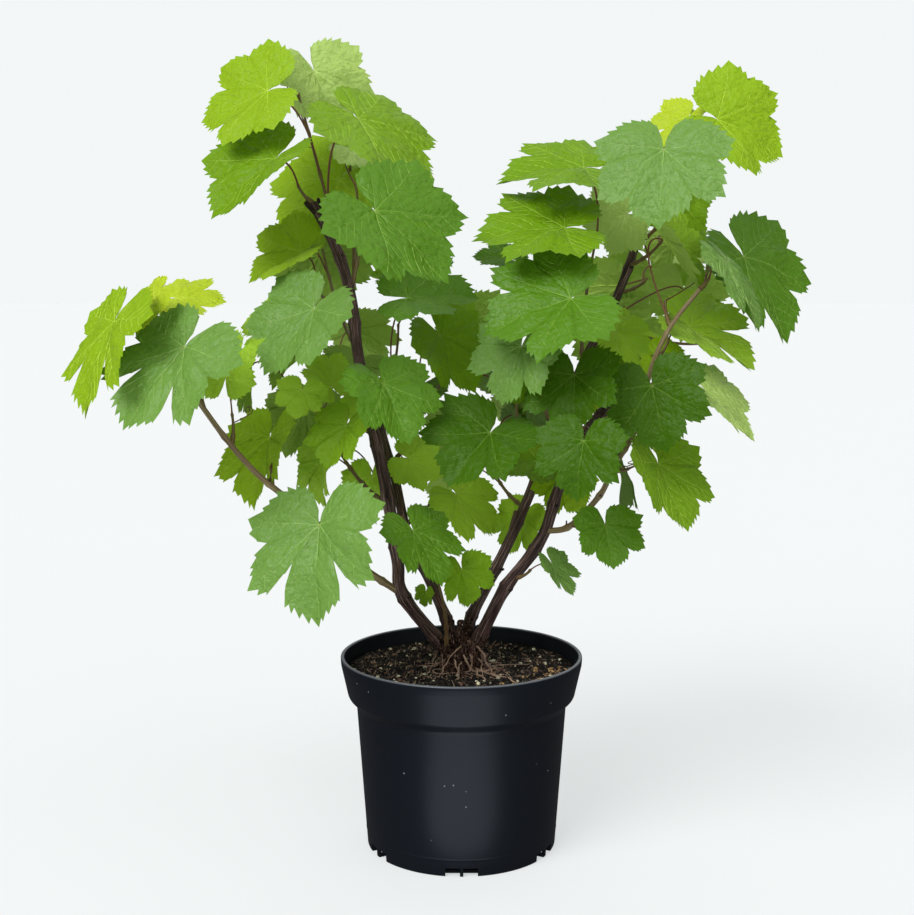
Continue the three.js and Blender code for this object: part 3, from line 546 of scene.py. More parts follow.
def is_clear(owner, points, room, passed=lambda other: False):
    """Whether points keep their room from all that is taken, apart from what is passed over."""
    if not len(points):
        return True
    low, high = points.min(0), points.max(0)
    for other, places, its_room, its_low, its_high in taken:
        if passed(other):
            continue
        apart = (room + its_room) * (ROOM["own"] if other.startswith(owner) else 1)
        if np.any(low - apart > its_high) or np.any(high + apart < its_low):
            continue
        gaps = ((points[:, None] - places[None]) ** 2).sum(2)
        if gaps.min() < apart * apart:
            return False
    return True


def settle(owner, leaf):
    """Whether a leaf and its petiole have room; if so, they take it."""
    samples = blade_samples(leaf)
    free = petiole_line(leaf, leaf["foot"], PETIOLE_STEPS)[PETIOLE_BARE:]
    outer = samples[np.linalg.norm(samples - leaf["at"], axis=1) > ROOM["collar"]]
    if not is_clear(owner, outer, ROOM["blade"]):
        return False
    if not is_clear(owner, samples, ROOM["blade"], lambda other: other.startswith(owner)):
        return False
    if not is_clear(owner, free, ROOM["petiole"], lambda other: other == owner):
        return False
    take(owner + ".blade", samples, ROOM["blade"])
    take(owner + ".petiole", free, ROOM["petiole"])
    return True


for name, (_, radius, route) in LIMBS.items():
    for i in range(len(route) - 1):
        stretch = np.array([along(route, i + k / LIMB_STEPS) for k in range(LIMB_STEPS + 1)])
        take(name, stretch, mix(*radius, i / (len(route) - 1)) + ROOM["limb"])
for name in SHOOTS:
    take(name, stem_line(name, STEM_STEPS)[STEM_BARE:], ROOM["stem"])
print("limbs and stems take room in", len(taken), "places")


# %% Set leaves, the biggest first
def planned_leaves(name, random):
    """A shoot's set leaves, spread from the bare part of its stem to its tip."""
    rows = SHOOTS[name][3]
    for i, (x, y, z, size, face, tilt, roll, tint) in enumerate(rows):
        share = i / (len(rows) - 1) if len(rows) > 1 else 1
        part = mix(STEM["bare"], 1, share)
        yield {"shoot": name, "at": np.array([x, y, z], float), "size": size, "look": (face, tilt, roll),
               "tint": tint, "share": part, "foot": stem_point(name, part),
               "fold": mix(*LEAF_FOLD, random()), "droop": mix(*LEAF_DROOP, random())}


def set_leaf(leaf):
    """The leaf at the first tip and shift where it has room, or nothing."""
    face, tilt, roll = leaf["look"]
    for tip in TIPS:
        axes = blade_axes(face, tilt + tip, roll)
        for shift in SHIFTS:
            moved = {**leaf, "at": leaf["at"] + (0, shift, 0), "axes": axes}
            if settle(leaf["shoot"], moved):
                return moved
    return None


planned = [leaf for i, name in enumerate(SHOOTS) for leaf in planned_leaves(name, seeded(SET_SEED + i))]
planned.sort(key=lambda leaf: -leaf["size"])
leaves = [leaf for leaf in map(set_leaf, planned) if leaf]
print(len(leaves), "of", len(planned), "set leaves found room")


# %% Grown leaves
def in_crown(points):
    """Whether each point is in one of the crown's ovals."""
    inside = [(((points - centre) / np.array(half)) ** 2).sum(1) < 1 for centre, half in CROWN]
    return np.any(inside, axis=0).all()


def grow_leaf(name, random, share):
    """A leaf by chance, from a place on the shoot's stem that faces out of the crown, or nothing."""
    foot = stem_point(name, share)
    outward = math.degrees(math.atan2(foot[0], CROWN_AXIS - foot[1]))
    for _ in range(TRIES):
        face = outward + mix(*GROWN["turn"], random())
        rise = math.radians(mix(*GROWN["rise"], random()))
        length, size = mix(*GROWN["stalk"], random()), mix(*GROWN["size"], random())
        heading = math.radians(face + mix(*GROWN["sway"], random()))
        way = [math.sin(heading) * math.cos(rise), -math.cos(heading) * math.cos(rise), math.sin(rise)]
        axes = blade_axes(face, mix(*GROWN["tilt"], random()), mix(*GROWN["roll"], random()))
        leaf = {"shoot": name, "at": foot + np.array(way) * length, "size": size, "axes": axes,
                "share": share, "foot": foot, "tint": None,
                "fold": mix(*LEAF_FOLD, random()), "droop": mix(*LEAF_DROOP, random())}
        if in_crown(rim_points(leaf)) and settle(name, leaf):
            return leaf
    return None


for i, (name, row) in enumerate(SHOOTS.items()):
    random = seeded(GROWN_SEED + i)
    for k in range(row[4]):
        leaf = grow_leaf(name, random, mix(STEM["bare"], 1, (k + 0.5) / row[4]))
        if leaf:
            leaves.append(leaf)
print(len(leaves), "leaves in all")

# %% [markdown]
# ## Growing things with Geometry Nodes
# Leaves repeat, and stems follow paths, so both are made by Geometry Nodes. Each tree is written
# here step by step, and gets its sizes through named inputs. What it grows is turned into a plain
# mesh at once, and the carrier that held the tree is thrown away.

# %% Helpers for rules
def new_rule(name, inputs):
    """An empty Geometry Nodes tree with a geometry input, these named inputs, and its output node."""
    tree = bpy.data.node_groups.new(name, "GeometryNodeTree")
    tree.interface.new_socket(name="Geometry", in_out="INPUT", socket_type="NodeSocketGeometry")
    for label, kind in inputs.items():
        tree.interface.new_socket(name=label, in_out="INPUT", socket_type="NodeSocket" + kind)
    tree.interface.new_socket(name="Geometry", in_out="OUTPUT", socket_type="NodeSocketGeometry")
    return tree, step(tree, "NodeGroupInput").outputs, step(tree, "NodeGroupOutput")


def read(tree, name, kind="FLOAT"):
    """The output of a node that reads a named attribute."""
    return step(tree, "GeometryNodeInputNamedAttribute", {"Name": name}, data_type=kind).outputs[0]


def maths(tree, operation, *values):
    """The output of a sum on single values."""
    return step(tree, "ShaderNodeMath", dict(enumerate(values)), operation=operation).outputs[0]


def scaled(tree, vector, factor):
    """The output of a vector times a single value."""
    inputs = {0: vector, "Scale": factor}
    return step(tree, "ShaderNodeVectorMath", inputs, operation="SCALE").outputs[0]


def grow(name, tree, plan, values):
    """Runs a rule on a plan mesh and keeps what it grows as a plain mesh object."""
    carrier = bpy.data.objects.new(name + "_plan", plan)
    bpy.context.collection.objects.link(carrier)
    rule = carrier.modifiers.new("rule", "NODES")
    rule.node_group = tree
    for socket in tree.interface.items_tree:
        if socket.in_out == "INPUT" and socket.name in values:
            rule[socket.identifier] = values[socket.name]
    grown = bpy.data.meshes.new_from_object(carrier.evaluated_get(bpy.context.evaluated_depsgraph_get()))
    bpy.data.objects.remove(carrier)
    bpy.data.meshes.remove(plan)
    return finished(name, grown)


def finished(name, mesh):
    """Makes a mesh an object of the scene, without the empty finish slots that a rule leaves."""
    kept = [k for k, finish in enumerate(mesh.materials) if finish]
    if len(kept) < len(mesh.materials):
        numbers = np.empty(len(mesh.polygons), int)
        mesh.polygons.foreach_get("material_index", numbers)
        finishes = [mesh.materials[k] for k in kept]
        mesh.materials.clear()
        for finish in finishes:
            mesh.materials.append(finish)
        mesh.polygons.foreach_set("material_index", np.searchsorted(kept, numbers))
    piece = bpy.data.objects.new(name, mesh)
    mesh.name = name
    bpy.context.collection.objects.link(piece)
    return piece


def hand_over(piece, slot, *nodes):
    """Lets a piece ride on the plant, in place of these solids, which are hidden."""
    places = np.empty(3 * len(piece.data.vertices))
    piece.data.vertices.foreach_get("co", places)
    assert len(places) and np.isfinite(places).all(), piece.name + " is empty or has a broken point"
    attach(piece, "root")
    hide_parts(*nodes)
    print(piece.name, len(piece.data.polygons), "faces")


def store(mesh, name, kind, values, domain="POINT"):
    """Writes a named attribute: one number or one vector for each point, edge or face."""
    layer = mesh.attributes.new(name, kind, domain)
    key = {"FLOAT_VECTOR": "vector"}.get(kind, "value")
    layer.data.foreach_set(key, np.array(values).ravel())


print("rule helpers ready")

# %% [markdown]
# ## One leaf
# A vine leaf has five lobes and saw teeth that lean towards the tip of their lobe. Seven main
# veins fan out from the stalk, five of them to the tips of lobes, side veins leave them at an
# angle, and the blade bulges between them.
# The leaf is drawn once, flat and one unit long, as columns of points that fan out from the stalk.
# The last point of each column is the tip of a tooth or the cut beside it. Six drawings, from
# shallow notches to deep ones, are enough, because size, fold and droop make every leaf its own.

# %% The outline of a leaf, with its teeth
# The rim as it were without notches and teeth: angle from the midrib in degrees, and reach.
FULL = [(0, 0.97), (7, 0.93), (15, 0.885), (23, 0.865), (31, 0.865), (40, 0.9), (49, 0.94), (56, 0.88),
        (66, 0.81), (76, 0.78), (86, 0.78), (97, 0.79), (108, 0.71), (122, 0.63), (138, 0.55),
        (150, 0.48), (159, 0.4), (165, 0.3), (170, 0.15)]
NOTCH_PLACES = (31, 74)  # between the middle lobe and its neighbours, and between those and the lowest
NOTCH_WIDTHS = (4.5, 5.5)
ARCS = [(0, 31, 6), (49, 31, 4), (49, 74, 4), (97, 74, 3), (97, 169, 8)]  # lobe tip, notch, teeth
# Widths and depths of teeth vary by chance: the least, and what chance may add to it.
TOOTH_WIDTHS, TOOTH_DEPTHS = (0.7, 0.6), (0.6, 0.8)
TOOTH_DEPTH, TOOTH_LEAN, TOOTH_RISE, TOOTH_FALL = 0.056, 0.3, 0.6, 0.4
LOBE_LEAN, LOBE_RISE = 0.05, 0.9  # the tooth on a lobe's own tip is longer
DEEP_TEETH, LATER_DEPTH = 5, 0.8  # beyond so many teeth from a lobe's tip they are shallower
ROUND = 6.28  # radians of a whole turn, for chance angles


def by_chance(least, spread, random):
    """A value from `least` up to `least + spread`."""
    return least + spread * random()


def smooth_reach(angle, notches):
    """The rim without its teeth: two notches of the given depths are cut in on each side."""
    angles, reaches = zip(*FULL)
    reached = np.interp(np.abs(angle), angles, reaches)
    for place, width, depth in zip(NOTCH_PLACES, NOTCH_WIDTHS, notches):
        reached = reached - depth * np.exp(-(((np.abs(angle) - place) / width) ** 2))
    return reached


def toothed_half(random, notches):
    """Angles and reaches along one half of the rim, from the midrib to the stalk."""
    rim = [(0, 1.0)]
    for tip, notch, teeth in ARCS:
        widths = np.array([by_chance(*TOOTH_WIDTHS, random) for _ in range(teeth)])
        edges = tip + (notch - tip) * np.concatenate([[0], np.cumsum(widths)]) / widths.sum()
        arc = []
        for k in range(teeth):
            near, far = edges[k], edges[k + 1]
            depth = TOOTH_DEPTH * by_chance(*TOOTH_DEPTHS, random) * (1 if k < DEEP_TEETH else LATER_DEPTH)
            peak = near + (far - near) * (TOOTH_LEAN if k else LOBE_LEAN)
            if k or tip:
                arc.append((peak, smooth_reach(peak, notches) + (TOOTH_RISE if k else LOBE_RISE) * depth))
            arc.append((far, smooth_reach(far, notches) - TOOTH_FALL * depth))
        rim += arc if notch > tip else arc[::-1]
    return sorted(rim)


print(len(toothed_half(seeded(11), (0.2, 0.1))), "points along half a leaf's rim")


# %% The veins of a leaf
MAIN_VEINS = [0, 49, 98, 138]  # angles from the midrib, on both sides
MAIN_STEPS, MAIN_BOW, MAIN_REACH, MAIN_TAPER = 12, 4, 0.94, 0.3  # its bow is in degrees
WIDE_LOBES = 100  # main veins within this angle are thicker and carry more side veins
THICK_VEIN, THIN_VEIN, SIDE_VEIN, VEIN_RISE = 0.0088, 0.006, 0.0042, 0.0034
SIDE_ANGLE, SIDE_STRIDE, SIDE_BOW, SIDE_REACH, SIDE_TAPER = 46, 0.02, 0.012, 0.95, 0.5
SIDE_STEPS, SIDE_POINTS = 30, 6  # strides at most, and points that are kept of them
# Side veins sit this many to a main vein's length, shifted by chance, and not quite in pairs.
SIDE_SPACES, EARLIER, SHIFTED, UNPAIRED = 6.2, 0.25, 0.3, 0.2


def vein_lines(random, notches):
    """Each vein as points in the leaf's plane with a radius: the main ones, then their side veins."""
    lines = []
    mains = sorted({s * a for a in MAIN_VEINS for s in (1, -1)})
    for angle in mains:
        wide = abs(angle) < WIDE_LOBES
        length = MAIN_REACH * smooth_reach(angle, notches)
        bowed = np.sign(angle) * MAIN_BOW * np.sin(np.linspace(0, np.pi, MAIN_STEPS))
        curve = np.radians(angle - bowed)
        run = np.linspace(0, length, MAIN_STEPS)
        line = np.stack([run * np.cos(curve), run * np.sin(curve)], 1)
        lines.append((line, (THICK_VEIN if wide else THIN_VEIN) * np.linspace(1, MAIN_TAPER, MAIN_STEPS)))
        for k in range(1, 6 if wide else 3):
            for side in (-1, 1):
                t = (k - EARLIER + SHIFTED * random() + UNPAIRED * (side > 0)) / SIDE_SPACES
                foot = np.array([np.interp(t * length, run, line[:, i]) for i in (0, 1)])
                way = math.radians(angle + side * SIDE_ANGLE)
                points = [foot]
                for _ in range(SIDE_STEPS):
                    way -= side * SIDE_BOW
                    tip = points[-1] + SIDE_STRIDE * np.array([math.cos(way), math.sin(way)])
                    there = math.degrees(math.atan2(tip[1], tip[0]))
                    nearest = min(mains, key=lambda main: abs(main - there))
                    if nearest != angle or np.hypot(*tip) > SIDE_REACH * smooth_reach(there, notches):
                        break
                    points.append(tip)
                if len(points) > 3:
                    chosen = np.unique(np.linspace(0, len(points) - 1, SIDE_POINTS).round().astype(int))
                    thick = SIDE_VEIN * np.linspace(1, SIDE_TAPER, len(chosen))
                    lines.append((np.array(points)[chosen], thick))
    return lines


print(len(vein_lines(seeded(11), (0.2, 0.1))), "veins in a leaf")


# %% A blade's unevenness, with a bulge between its veins
BULGE, BULGE_WIDTH, WAVE, RIPPLE = 0.017, 0.03, 0.024, 0.042
WAVES = [(3, 1), (7, 0.9), (13, 0.3)]  # waves of the rim: how many, and how high
RIPPLE_SCALE, FLAT_HEART = 3, 0.25  # the blade is flatter this near its stalk


def distance_to(points, lines):
    """How far each point is from the nearest vein."""
    nearest = np.full(len(points), 9.0)
    for line, _ in lines:
        for a, b in zip(line[:-1], line[1:]):
            t = np.clip((points - a) @ (b - a) / ((b - a) @ (b - a)), 0, 1)
            nearest = np.minimum(nearest, np.linalg.norm(points - a - t[:, None] * (b - a), axis=1))
    return nearest


def lift_of(points, lines, phases):
    """The blade's own unevenness: bulges between veins and a wavy margin."""
    radius = np.hypot(*points.T)
    angle = np.arctan2(points[:, 1], points[:, 0])
    bulge = BULGE * (1 - np.exp(-((distance_to(points, lines) / BULGE_WIDTH) ** 2)))
    wave = sum(high * np.sin(count * angle + phase) for (count, high), phase in zip(WAVES, (*phases, 0)))
    ripple = np.array([noise.noise((RIPPLE_SCALE * x, RIPPLE_SCALE * y, phases[0])) for x, y in points])
    return bulge + WAVE * wave * radius**2 + RIPPLE * ripple * np.minimum(radius / FLAT_HEART, 1)


print("a blade's rim has", sum(count for count, _ in WAVES), "waves of three lengths")


# %% Veins as slim tubes
VEIN_ABOVE, VEIN_BELOW = 0.5, 0.9  # how far a vein stands out, in shares of its radius


def vein_tube(line, radius, top, below):
    """Points and faces of a vein: a slim tube that stands a little out of the blade on both sides."""
    way = np.gradient(line, axis=0)
    aside = np.column_stack([-way[:, 1], way[:, 0]]) / np.linalg.norm(way, axis=1)[:, None]
    middle = (top + below) / 2
    points = []
    for p, w, r, high, low, mid in zip(line, aside, radius, top, below, middle):
        points += [[*(p + w * r), mid], [*p, high + max(VEIN_ABOVE * r, VEIN_RISE)],
                   [*(p - w * r), mid], [*p, low - max(VEIN_BELOW * r, VEIN_RISE)]]
    last = 4 * (len(line) - 1)
    faces = [[i + k, i + (k + 1) % 4, i + 4 + (k + 1) % 4, i + 4 + k]
             for i in range(0, last, 4) for k in range(4)]
    return points, faces + [[3, 2, 1, 0], [last, last + 1, last + 2, last + 3]]


print("veins have four sides")


# %% Both sheets of a blade
RINGS = (0.08, 0.18, 0.29, 0.4, 0.51, 0.62, 0.73, 0.84, 0.94, 1)
RIM_INSET, RIM_THINNING = 0.965, 0.55  # where the teeth begin, and how much thinner the rim is
BLADE_THICKNESS = 0.007


def blade_shell(rim, notches, lift):
    """Two sheets of columns that share the rim and the edges beside the stalk, thinnest at the rim.

    Both are cut into the same triangles, so that neither pokes through the other."""
    angle, tooth = np.radians([a for a, _ in rim]), np.array([r for _, r in rim])
    inner = RIM_INSET * smooth_reach(np.degrees(angle), notches)
    flat = [np.zeros((1, 2))]
    for ring in RINGS:
        r = tooth if ring == 1 else ring * inner
        flat.append(np.stack([r * np.cos(angle), r * np.sin(angle)], 1))
    flat = np.vstack(flat)
    count = len(rim)
    ring_of = np.concatenate([[0], np.repeat(RINGS, count)])
    shared = ring_of == 1
    shared[0] = True
    shared[1::count] = shared[count::count] = True
    wall = np.where(shared, 0, BLADE_THICKNESS / 2 * (1 - RIM_THINNING * ring_of**2))
    height = lift(flat)
    top, below = np.column_stack([flat, height + wall]), np.column_stack([flat, height - wall])
    under = np.arange(len(flat))
    under[~shared] = len(flat) + np.arange((~shared).sum())
    faces, kinds = [], []
    for k in range(count - 1):
        columns = [0] + [1 + i * count + k for i in range(len(RINGS))]
        for i in range(len(RINGS)):
            a, b, c, d = columns[i], columns[i + 1], columns[i + 1] + 1, columns[i] + 1
            for face in [[a, b, c], [a, c, d]][: 2 if i else 1]:
                faces += [face, [int(under[p]) for p in reversed(face)]]
                kinds += [0, 1]
    return np.vstack([top, below[~shared]]), faces, kinds


print("blades have", len(RINGS), "rings of points")


# %% Six drawings of a leaf
def draw_leaf(name, seed, notches):
    """One leaf, flat and a unit long: its blade, and veins laid on it where a ray meets both sheets."""
    random = seeded(seed)
    left, right = toothed_half(random, notches), toothed_half(random, notches)
    rim = [(-a, r) for a, r in reversed(left[1:])] + right
    lines = vein_lines(random, notches)
    phases = (ROUND * random(), ROUND * random())
    points, faces, kinds = blade_shell(rim, notches, lambda flat: lift_of(flat, lines, phases))
    surface = BVHTree.FromPolygons([Vector(p) for p in points], faces)
    points = [list(p) for p in points]
    for line, radius in lines:
        top = [surface.ray_cast((*p, 1), (0, 0, -1))[0] for p in line]
        below = [surface.ray_cast((*p, -1), (0, 0, 1))[0] for p in line]
        hit = [k for k in range(len(line)) if top[k] and below[k]]
        if len(hit) < 2:
            continue
        high, low = (np.array([sheet[k].z for k in hit]) for sheet in (top, below))
        tube_points, tube_faces = vein_tube(line[hit], radius[hit], high, low)
        faces += [[len(points) + c for c in face] for face in tube_faces]
        kinds += [2] * len(tube_faces)
        points += tube_points
    mesh = bpy.data.meshes.new(name)
    mesh.from_pydata([tuple(map(float, p)) for p in points], [], faces)
    mesh.polygons.foreach_set("use_smooth", [kind < 2 for kind in kinds])
    store(mesh, "kind", "INT", kinds, "FACE")
    store(mesh, "along", "FLOAT", [p[0] for p in points])
    store(mesh, "aside", "FLOAT", [p[1] for p in points])
    beside = {}
    for face, kind in zip(mesh.polygons, kinds):
        for key in face.edge_keys:
            beside.setdefault(key, set()).add(kind)
    store(mesh, "sharp_edge", "BOOLEAN", [len(beside[edge.key]) > 1 for edge in mesh.edges], "EDGE")
    return bpy.data.objects.new(name, mesh)


leaf_shapes = bpy.data.collections.new("leaf_shapes")
# Depths of both notches of each drawing. The last is the deeply cut one.
LEAF_CUTS = [(0.1, 0.05), (0.15, 0.07), (0.2, 0.09), (0.25, 0.1), (0.14, 0.1), (0.38, 0.17)]
DRAWING_SEED, DEEPEST = 21, len(LEAF_CUTS) - 1
for k, notches in enumerate(LEAF_CUTS):
    leaf_shapes.objects.link(draw_leaf(f"leaf_shape_{k}", DRAWING_SEED + k, notches))
sample = leaf_shapes.objects[0].data
print("each leaf:", sum(len(f.vertices) - 2 for f in sample.polygons), "triangles")

# %% [markdown]
# ## Leaf colours
# Each tint is a plain colour, so it stays put in any viewer. Set leaves get theirs partly by age and
# partly as painted light: leaves in shade deep in the crown get lighter tints, which lift their shade,
# and a front-lit leaf may get a darker one. The under side is paler and duller, and the veins are
# yellower. A little light passes through the blade, which is why leaves with the light behind them
# turn yellow-green. Blotches on every blade were the other choice, but at this size a leaf reads as
# one colour, and its creases do the rest.

# %% Leaf finishes
# Pale and light also serve as painted light: they lift leaves that lie in shade deep in the crown.
TINTS = {
    "young": (198, 218, 47),
    "fresh": (156, 193, 29),
    "pale": (184, 212, 116),
    "light": (172, 211, 60),
    "bright": (148, 186, 46),
    "mid": (124, 167, 21),
    "grass": (133, 174, 32),
    "deep": (69, 111, 9),
    # Its pale grey-blue is partly a painted sheen: the gleam of light on the blade, mixed into the leaf's
    # green.
    "dusty": (123, 166, 75),
    "old": (97, 146, 28),
}
GLOW, THROUGH = 0.4, (190, 215, 20)  # share of the light that passes through a blade, and its colour
PALE_UNDER, PALE_VEINS = ((176, 190, 160), 0.4), ((206, 214, 140), 0.3)  # colour, and its share
UPPER_ROUGH, UNDER_ROUGH, VEINS_ROUGH = 0.42, 0.6, 0.5
WAXY = ("dusty", "old", "pale")  # tints of leaves with a dull wax that catches the light
WAXY_SHINE, PLAIN_SHINE = 0.42, 0.22
SKIN_GRAIN, SKIN_BUMPS = 190, (0.8, 0.003)


def tinted(colour, toward, share):
    """A colour, moved towards another by a share."""
    return tuple(mix(a, b, share) for a, b in zip(colour, toward))


def leaf_finish(name, colour, roughness, glow=0.0):
    """Leaf skin. With a glow, some of the light passes through it."""
    shine = WAXY_SHINE if name.startswith(WAXY) else PLAIN_SHINE
    material, tree, shader = new_finish(name, colour, roughness, {"Specular IOR Level": shine})
    if glow:
        light_colour = linear(tinted(colour, THROUGH, 0.5))
        through = step(tree, "ShaderNodeBsdfTranslucent", {"Color": light_colour})
        both = step(tree, "ShaderNodeMixShader", {0: glow, 1: shader.outputs[0], 2: through.outputs[0]})
        tree.links.new(both.outputs[0], tree.nodes["Material Output"].inputs["Surface"])
    grain = pattern(tree, "ShaderNodeTexNoise", SKIN_GRAIN, detail=2)
    relief(tree, grain.outputs[0], shader, *SKIN_BUMPS)
    rougher(tree, grain.outputs[0], shader, roughness - 0.08, roughness + 0.1)
    return material


print(len(TINTS), "tints of leaf")

# %% [markdown]
# ## Leaves on the plant
# The rule below puts a drawn leaf on each point of a plan. A point carries the leaf's facing, its
# midrib's way, its size, fold and droop. After the leaves are realized, every corner is moved
# along the leaf's facing, so that the blade droops as in the growth rule, folds more deeply, and
# is a little uneven. Each leaf could be modelled by hand, but a rule bends them all alike.

# %% The leaf rule
def leaf_rule():
    """Puts leaves on points, bends them, and gives both sides and the veins their finishes."""
    tree, given, result = new_rule("vine_leaves", {
        "Leaf Shapes": "Collection", "Upper Side": "Material", "Under Side": "Material",
        "Veins": "Material", "Unevenness": "Float"})
    shapes = step(tree, "GeometryNodeCollectionInfo", {
        "Collection": given["Leaf Shapes"], "Separate Children": True, "Reset Children": True})
    facing = read(tree, "facing", "FLOAT_VECTOR")
    turn = step(tree, "FunctionNodeAxesToRotation", {
        "Primary Axis": facing, "Secondary Axis": read(tree, "midrib", "FLOAT_VECTOR")},
        primary_axis="Z", secondary_axis="X")
    size = read(tree, "leaf_size")
    placed = step(tree, "GeometryNodeInstanceOnPoints", {
        "Points": given["Geometry"], "Instance": shapes.outputs[0], "Pick Instance": True,
        "Instance Index": read(tree, "shape", "INT"), "Rotation": turn.outputs[0], "Scale": size})
    real = step(tree, "GeometryNodeRealizeInstances", {"Geometry": placed.outputs[0]})
    along, aside = read(tree, "along"), read(tree, "aside")
    square = maths(tree, "MULTIPLY_ADD", along, along, maths(tree, "MULTIPLY", aside, aside))
    fold = maths(tree, "MULTIPLY", read(tree, "leaf_fold"), maths(tree, "ABSOLUTE", aside))
    bend = maths(tree, "SUBTRACT", fold, maths(tree, "MULTIPLY", read(tree, "leaf_droop"), square))
    swell = step(tree, "ShaderNodeTexNoise", {"Scale": 11.0, "Detail": 0.0}).outputs[0]
    uneven = maths(tree, "MULTIPLY", maths(tree, "SUBTRACT", swell, 0.5), given["Unevenness"])
    off_heart = maths(tree, "MINIMUM", maths(tree, "MULTIPLY", square, 3.0), 1.0)
    lift = maths(tree, "MULTIPLY_ADD", uneven, off_heart, bend)
    offset = scaled(tree, facing, maths(tree, "MULTIPLY", lift, size))
    bent = step(tree, "GeometryNodeSetPosition", {"Geometry": real.outputs[0], "Offset": offset}).outputs[0]
    kind = read(tree, "kind", "INT")
    for number, label in enumerate(("Upper Side", "Under Side", "Veins")):
        chosen = step(tree, "FunctionNodeCompare", {2: kind, 3: number}, data_type="INT", operation="EQUAL")
        bent = step(tree, "GeometryNodeSetMaterial", {
            "Geometry": bent, "Selection": chosen.outputs[0], "Material": given[label]}).outputs[0]
    tree.links.new(bent, result.inputs[0])
    return tree


rule = leaf_rule()
print("leaf rule with", len(rule.nodes), "nodes")

# %% Deal tints, creases and drawings
DEEPLY_CUT, BIG_LEAF = ("low_left", "far_left", "right_mid"), 60  # shoots of deeply cut big leaves
MORE_FOLD = (0.06, 0.24)  # a live blade is creased along its midrib more than its plain solid
# Leaves of these shoots lie so close that a deep crease would push one through the next.
CLOSE_SET, CLOSE_SHARE = ("far_left", "right_end", "right_drop", "right_low", "back_right_high"), 0.2
# Chance leaves that would hide a bare cane tip or close a window of the crown are left out.
KEPT_OPEN = [(-117, -58, 589), (-195, 85, 567), (181, 39, 507), (-58, 98, 474), (249, 98, 447)]
OPEN_REACH = 12
CROWN_FOOT, CROWN_TALL = 300, 400


def keeps_open(leaf):
    """Whether a leaf stays away from all the places that are kept open."""
    return min(np.linalg.norm(leaf["at"] - place) for place in KEPT_OPEN) > OPEN_REACH


leaves = [leaf for leaf in leaves if keeps_open(leaf)]
chance, creasing = seeded(77), seeded(79)
for leaf in leaves:
    high = (leaf["at"][2] - CROWN_FOOT) / CROWN_TALL
    roll = chance()
    if leaf["tint"] is None:  # chance deals it one, and a light one more often high up
        shares = ((0.2, "bright"), (0.36 + 0.2 * high, "light"), (0.6, "grass"), (0.82, "mid"), (1, "deep"))
        leaf["tint"] = next(tint for share, tint in shares if roll < share)
    more = mix(*MORE_FOLD, creasing())
    leaf["crease"] = leaf["fold"] + more * (CLOSE_SHARE if leaf["shoot"] in CLOSE_SET else 1)
    deep = leaf["shoot"] in DEEPLY_CUT and leaf["size"] > BIG_LEAF
    leaf["drawing"] = DEEPEST if deep else int(chance() * DEEPEST)
print({tint: sum(leaf["tint"] == tint for leaf in leaves) for tint in TINTS})


# %% One piece for each tint
def leaf_piece(tint):
    """All leaves of one tint, as one piece."""
    mine = [leaf for leaf in leaves if leaf["tint"] == tint]
    plan = bpy.data.meshes.new("leaf_plan")
    plan.from_pydata([tuple(leaf["at"] * MM) for leaf in mine], [], [])
    for name, axis in (("facing", 2), ("midrib", 0)):
        store(plan, name, "FLOAT_VECTOR", [leaf["axes"][axis] for leaf in mine])
    store(plan, "leaf_size", "FLOAT", [leaf["size"] * MM for leaf in mine])
    store(plan, "leaf_fold", "FLOAT", [leaf["crease"] for leaf in mine])
    store(plan, "leaf_droop", "FLOAT", [leaf["droop"] for leaf in mine])
    store(plan, "shape", "INT", [leaf["drawing"] for leaf in mine])
    colour = TINTS[tint]
    under, veins = tinted(colour, *PALE_UNDER), tinted(colour, *PALE_VEINS)
    piece = grow("leaves_" + tint, rule, plan, {
        "Leaf Shapes": leaf_shapes, "Unevenness": 0.12,
        "Upper Side": leaf_finish(tint + "_leaf_upper", colour, UPPER_ROUGH, GLOW),
        "Under Side": leaf_finish(tint + "_leaf_under", under, UNDER_ROUGH, GLOW),
        "Veins": leaf_finish(tint + "_leaf_veins", veins, VEINS_ROUGH)})
    hand_over(piece, "foliage", *sorted({"mass_" + leaf["shoot"] for leaf in mine}))


for tint in TINTS:
    leaf_piece(tint)
for shape in list(leaf_shapes.objects):
    bpy.data.objects.remove(shape)

# %% [markdown]
# ## The pot
# The pot is moulded black plastic: a tapered wall, a stepped band under a rounded rim, and pairs
# of drainage notches round the foot. A profile that is turned about the upright axis gives its
# body. Small arcs replace the profile's corners, because moulded plastic has no sharp edge and
# each rounding catches a thin line of light. A bevel would be simpler, but here each corner has
# a rounding of its own.

# %% Pot profile: radius, height and rounding of each corner, from the axis underneath to the axis inside
POT_CORNERS = [
    (0, 0, 0), (84, 0, 0), (88.5, 0, 1.6), (89.5, 14.5, 0.5), (89.9, 15.5, 0.6), (89.7, 17, 0.5),
    (98, 135, 3), (105.7, 143, 2.4), (112.1, 172, 1), (112.5, 176, 1), (112.5, 180, 1.5), (109.1, 180, 1.4),
    (103.1, 144, 3), (95.4, 134, 3), (85.9, 3, 3), (0, 3, 0)]
POT_SEGMENTS, CORNER_SHARE = 192, 0.45  # the share of an edge that a rounding may take


def rounded(corners, steps=5):
    """The profile's points, with an arc at each corner that has a rounding."""
    points = []
    for i, (radius, height, rounding) in enumerate(corners):
        here = np.array([radius, height], float)
        if not rounding:
            points.append(here)
            continue
        ends = [np.array(corners[k][:2], float) - here for k in (i - 1, i + 1)]
        near = [here + unit(end) * min(rounding, CORNER_SHARE * np.linalg.norm(end)) for end in ends]
        points += list(bow(near[0], here, near[1], steps))
    return np.array(points)


